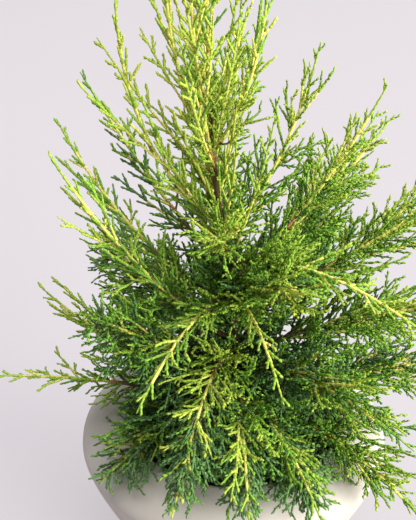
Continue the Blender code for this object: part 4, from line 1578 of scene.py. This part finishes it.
    def dress_stems(self, stems: Shoots, leaders: Shoots, fans: Shoots) -> None:
        """Dresses the bare parts of stems, leaders and fans in their four skins."""
        names = ["foliage_" + limb.name for limb in self.skeleton.limbs]
        # Fans with low tones, among them those in the painted shade, get the dusky skin.
        bright = fans.tone > self.fresh_above
        skins = {
            Stem.RIPE: [(self.stem_form, stems.part(*self.ripe_stem_part)),
                        (self.lead_form, leaders.part(*self.ripe_lead_part))],
            Stem.GOLDEN: [(self.stem_form, stems.part(*self.golden_stem_part)),
                          (self.lead_form, leaders.part(*self.golden_lead_part))],
            Stem.FRESH: [(self.fan_form, fans.pick(bright).part(*self.bare_fan_part))],
            Stem.DUSKY: [(self.fan_form, fans.pick(~bright).part(*self.bare_fan_part))],
        }
        for skin, groups in skins.items():
            points, faces = joined([form.sweep(shoots) for form, shoots in groups])
            slot = "young_bark" if skin is Stem.RIPE else "golden_foliage"
            mesh_piece(f"stems_{skin.name.lower()}", points, faces, skin.value.material(), slot, names)


@dataclass(frozen=True)
class SoftBox:
    """One soft light: where it stands, the point it faces, its width and height in metres, its
    watts and its sRGB hex colour."""

    name: str
    place: tuple[float, float, float]
    aim: tuple[float, float, float]
    size: tuple[float, float]
    power: float
    colour: str

    def build(self) -> None:
        """Adds the light."""
        data = bpy.data.lights.new(self.name, "AREA")
        data.shape = "RECTANGLE"
        data.size, data.size_y = self.size
        data.energy = self.power
        data.color = linear(self.colour)[:3]
        lamp = bpy.data.objects.new(self.name, data)
        lamp.location = self.place
        lamp.rotation_euler = (Vector(self.aim) - Vector(self.place)).to_track_quat("-Z", "Y").to_euler()
        bpy.context.scene.collection.objects.link(lamp)


@dataclass
class Studio:
    """A wide light table for a floor, soft lights from the right and above, and the camera."""

    camera_place: tuple[float, float, float] = (0.0, -0.6431, 0.6858)
    camera_pitch: float = 33.066
    camera_yaw: float = 1.738
    camera_sight: float = 120.0
    sensor: float = 36.0
    lens: float = 76.3
    floor_size: float = 60.0
    dome_radius: float = 29.0
    dome_depth: float = 1.0
    dome_rows: int = 24
    dome_steps: int = 72
    air: str = "#F4F3F6"
    air_strength: float = 0.10
    lights: tuple[SoftBox, ...] = (
        SoftBox("key_right", place=(5.2, -3.05, 2.0), aim=(0.0, 0.0, 0.2), size=(5.8, 3.6), power=960.0,
                colour="#FFFCF6"),
        SoftBox("top_fill", place=(0.3, 0.4, 2.9), aim=(0.1, 0.4, 0.0), size=(3.2, 3.4), power=150.0,
                colour="#FBFAFF"),
    )

    def build(self) -> None:
        """Builds the camera, the floor, the lights and the air."""
        self.build_camera()
        self.build_floor()
        for light in self.lights:
            light.build()
        world = bpy.data.worlds.new("studio_air")
        world.use_nodes = True
        air = world.node_tree.nodes["Background"]
        air.inputs["Color"].default_value = linear(self.air)
        air.inputs["Strength"].default_value = self.air_strength
        bpy.context.scene.world = world
        bpy.context.scene.view_settings.view_transform = "Standard"

    def build_camera(self) -> None:
        """Puts the camera where the photograph was taken from."""
        data = bpy.data.cameras.new("photo_camera")
        data.sensor_width = self.sensor
        data.lens = self.lens
        data.clip_end = self.camera_sight
        camera = bpy.data.objects.new("photo_camera", data)
        camera.location = self.camera_place
        camera.rotation_euler = (math.radians(90.0 - self.camera_pitch), 0.0, math.radians(self.camera_yaw))
        bpy.context.scene.collection.objects.link(camera)
        bpy.context.scene.camera = camera

    def build_floor(self) -> None:
        """Lays the light table, and closes the room with a dome of the same sheet. Only the camera
        sees the dome, so views from low down have a pale ground and the light stays as it is."""
        half = self.floor_size / 2.0
        corners = [(-half, -half, 0), (half, -half, 0), (half, half, 0), (-half, half, 0)]
        sheet = OpalAcrylic().material()
        floor = self.laid("studio_floor", corners, [(0, 1, 2, 3)], sheet)
        rises = np.radians(np.linspace(90.0, 0.0, self.dome_rows))
        profile = self.dome_radius * np.column_stack([np.cos(rises), np.sin(rises)])
        points, faces = turned(np.concatenate([profile, [[0.0, -self.dome_depth]]]), self.dome_steps)
        dome = self.laid("studio_dome", points.tolist(), faces.tolist(), sheet)
        dome.data.shade_smooth()
        dome.visible_diffuse = False
        dome.visible_glossy = False
        dome.visible_shadow = False

    @staticmethod
    def laid(name: str, points: list, faces: list, sheet: bpy.types.Material) -> bpy.types.Object:
        """Adds one mesh of the studio's own in this sheet."""
        mesh = bpy.data.meshes.new(name)
        mesh.from_pydata(points, [], faces)
        mesh.materials.append(sheet)
        made = bpy.data.objects.new(name, mesh)
        bpy.context.scene.collection.objects.link(made)
        return made


def main() -> None:
    """Builds everything in order."""
    logging.basicConfig(level=logging.INFO, format="%(message)s")
    Studio().build()
    planter = Planter()
    planter.build()
    Compost(planter).build()
    skeleton = Skeleton()
    Wood(skeleton).build()
    Foliage(skeleton, planter).build()


if __name__ == "__main__":
    main()
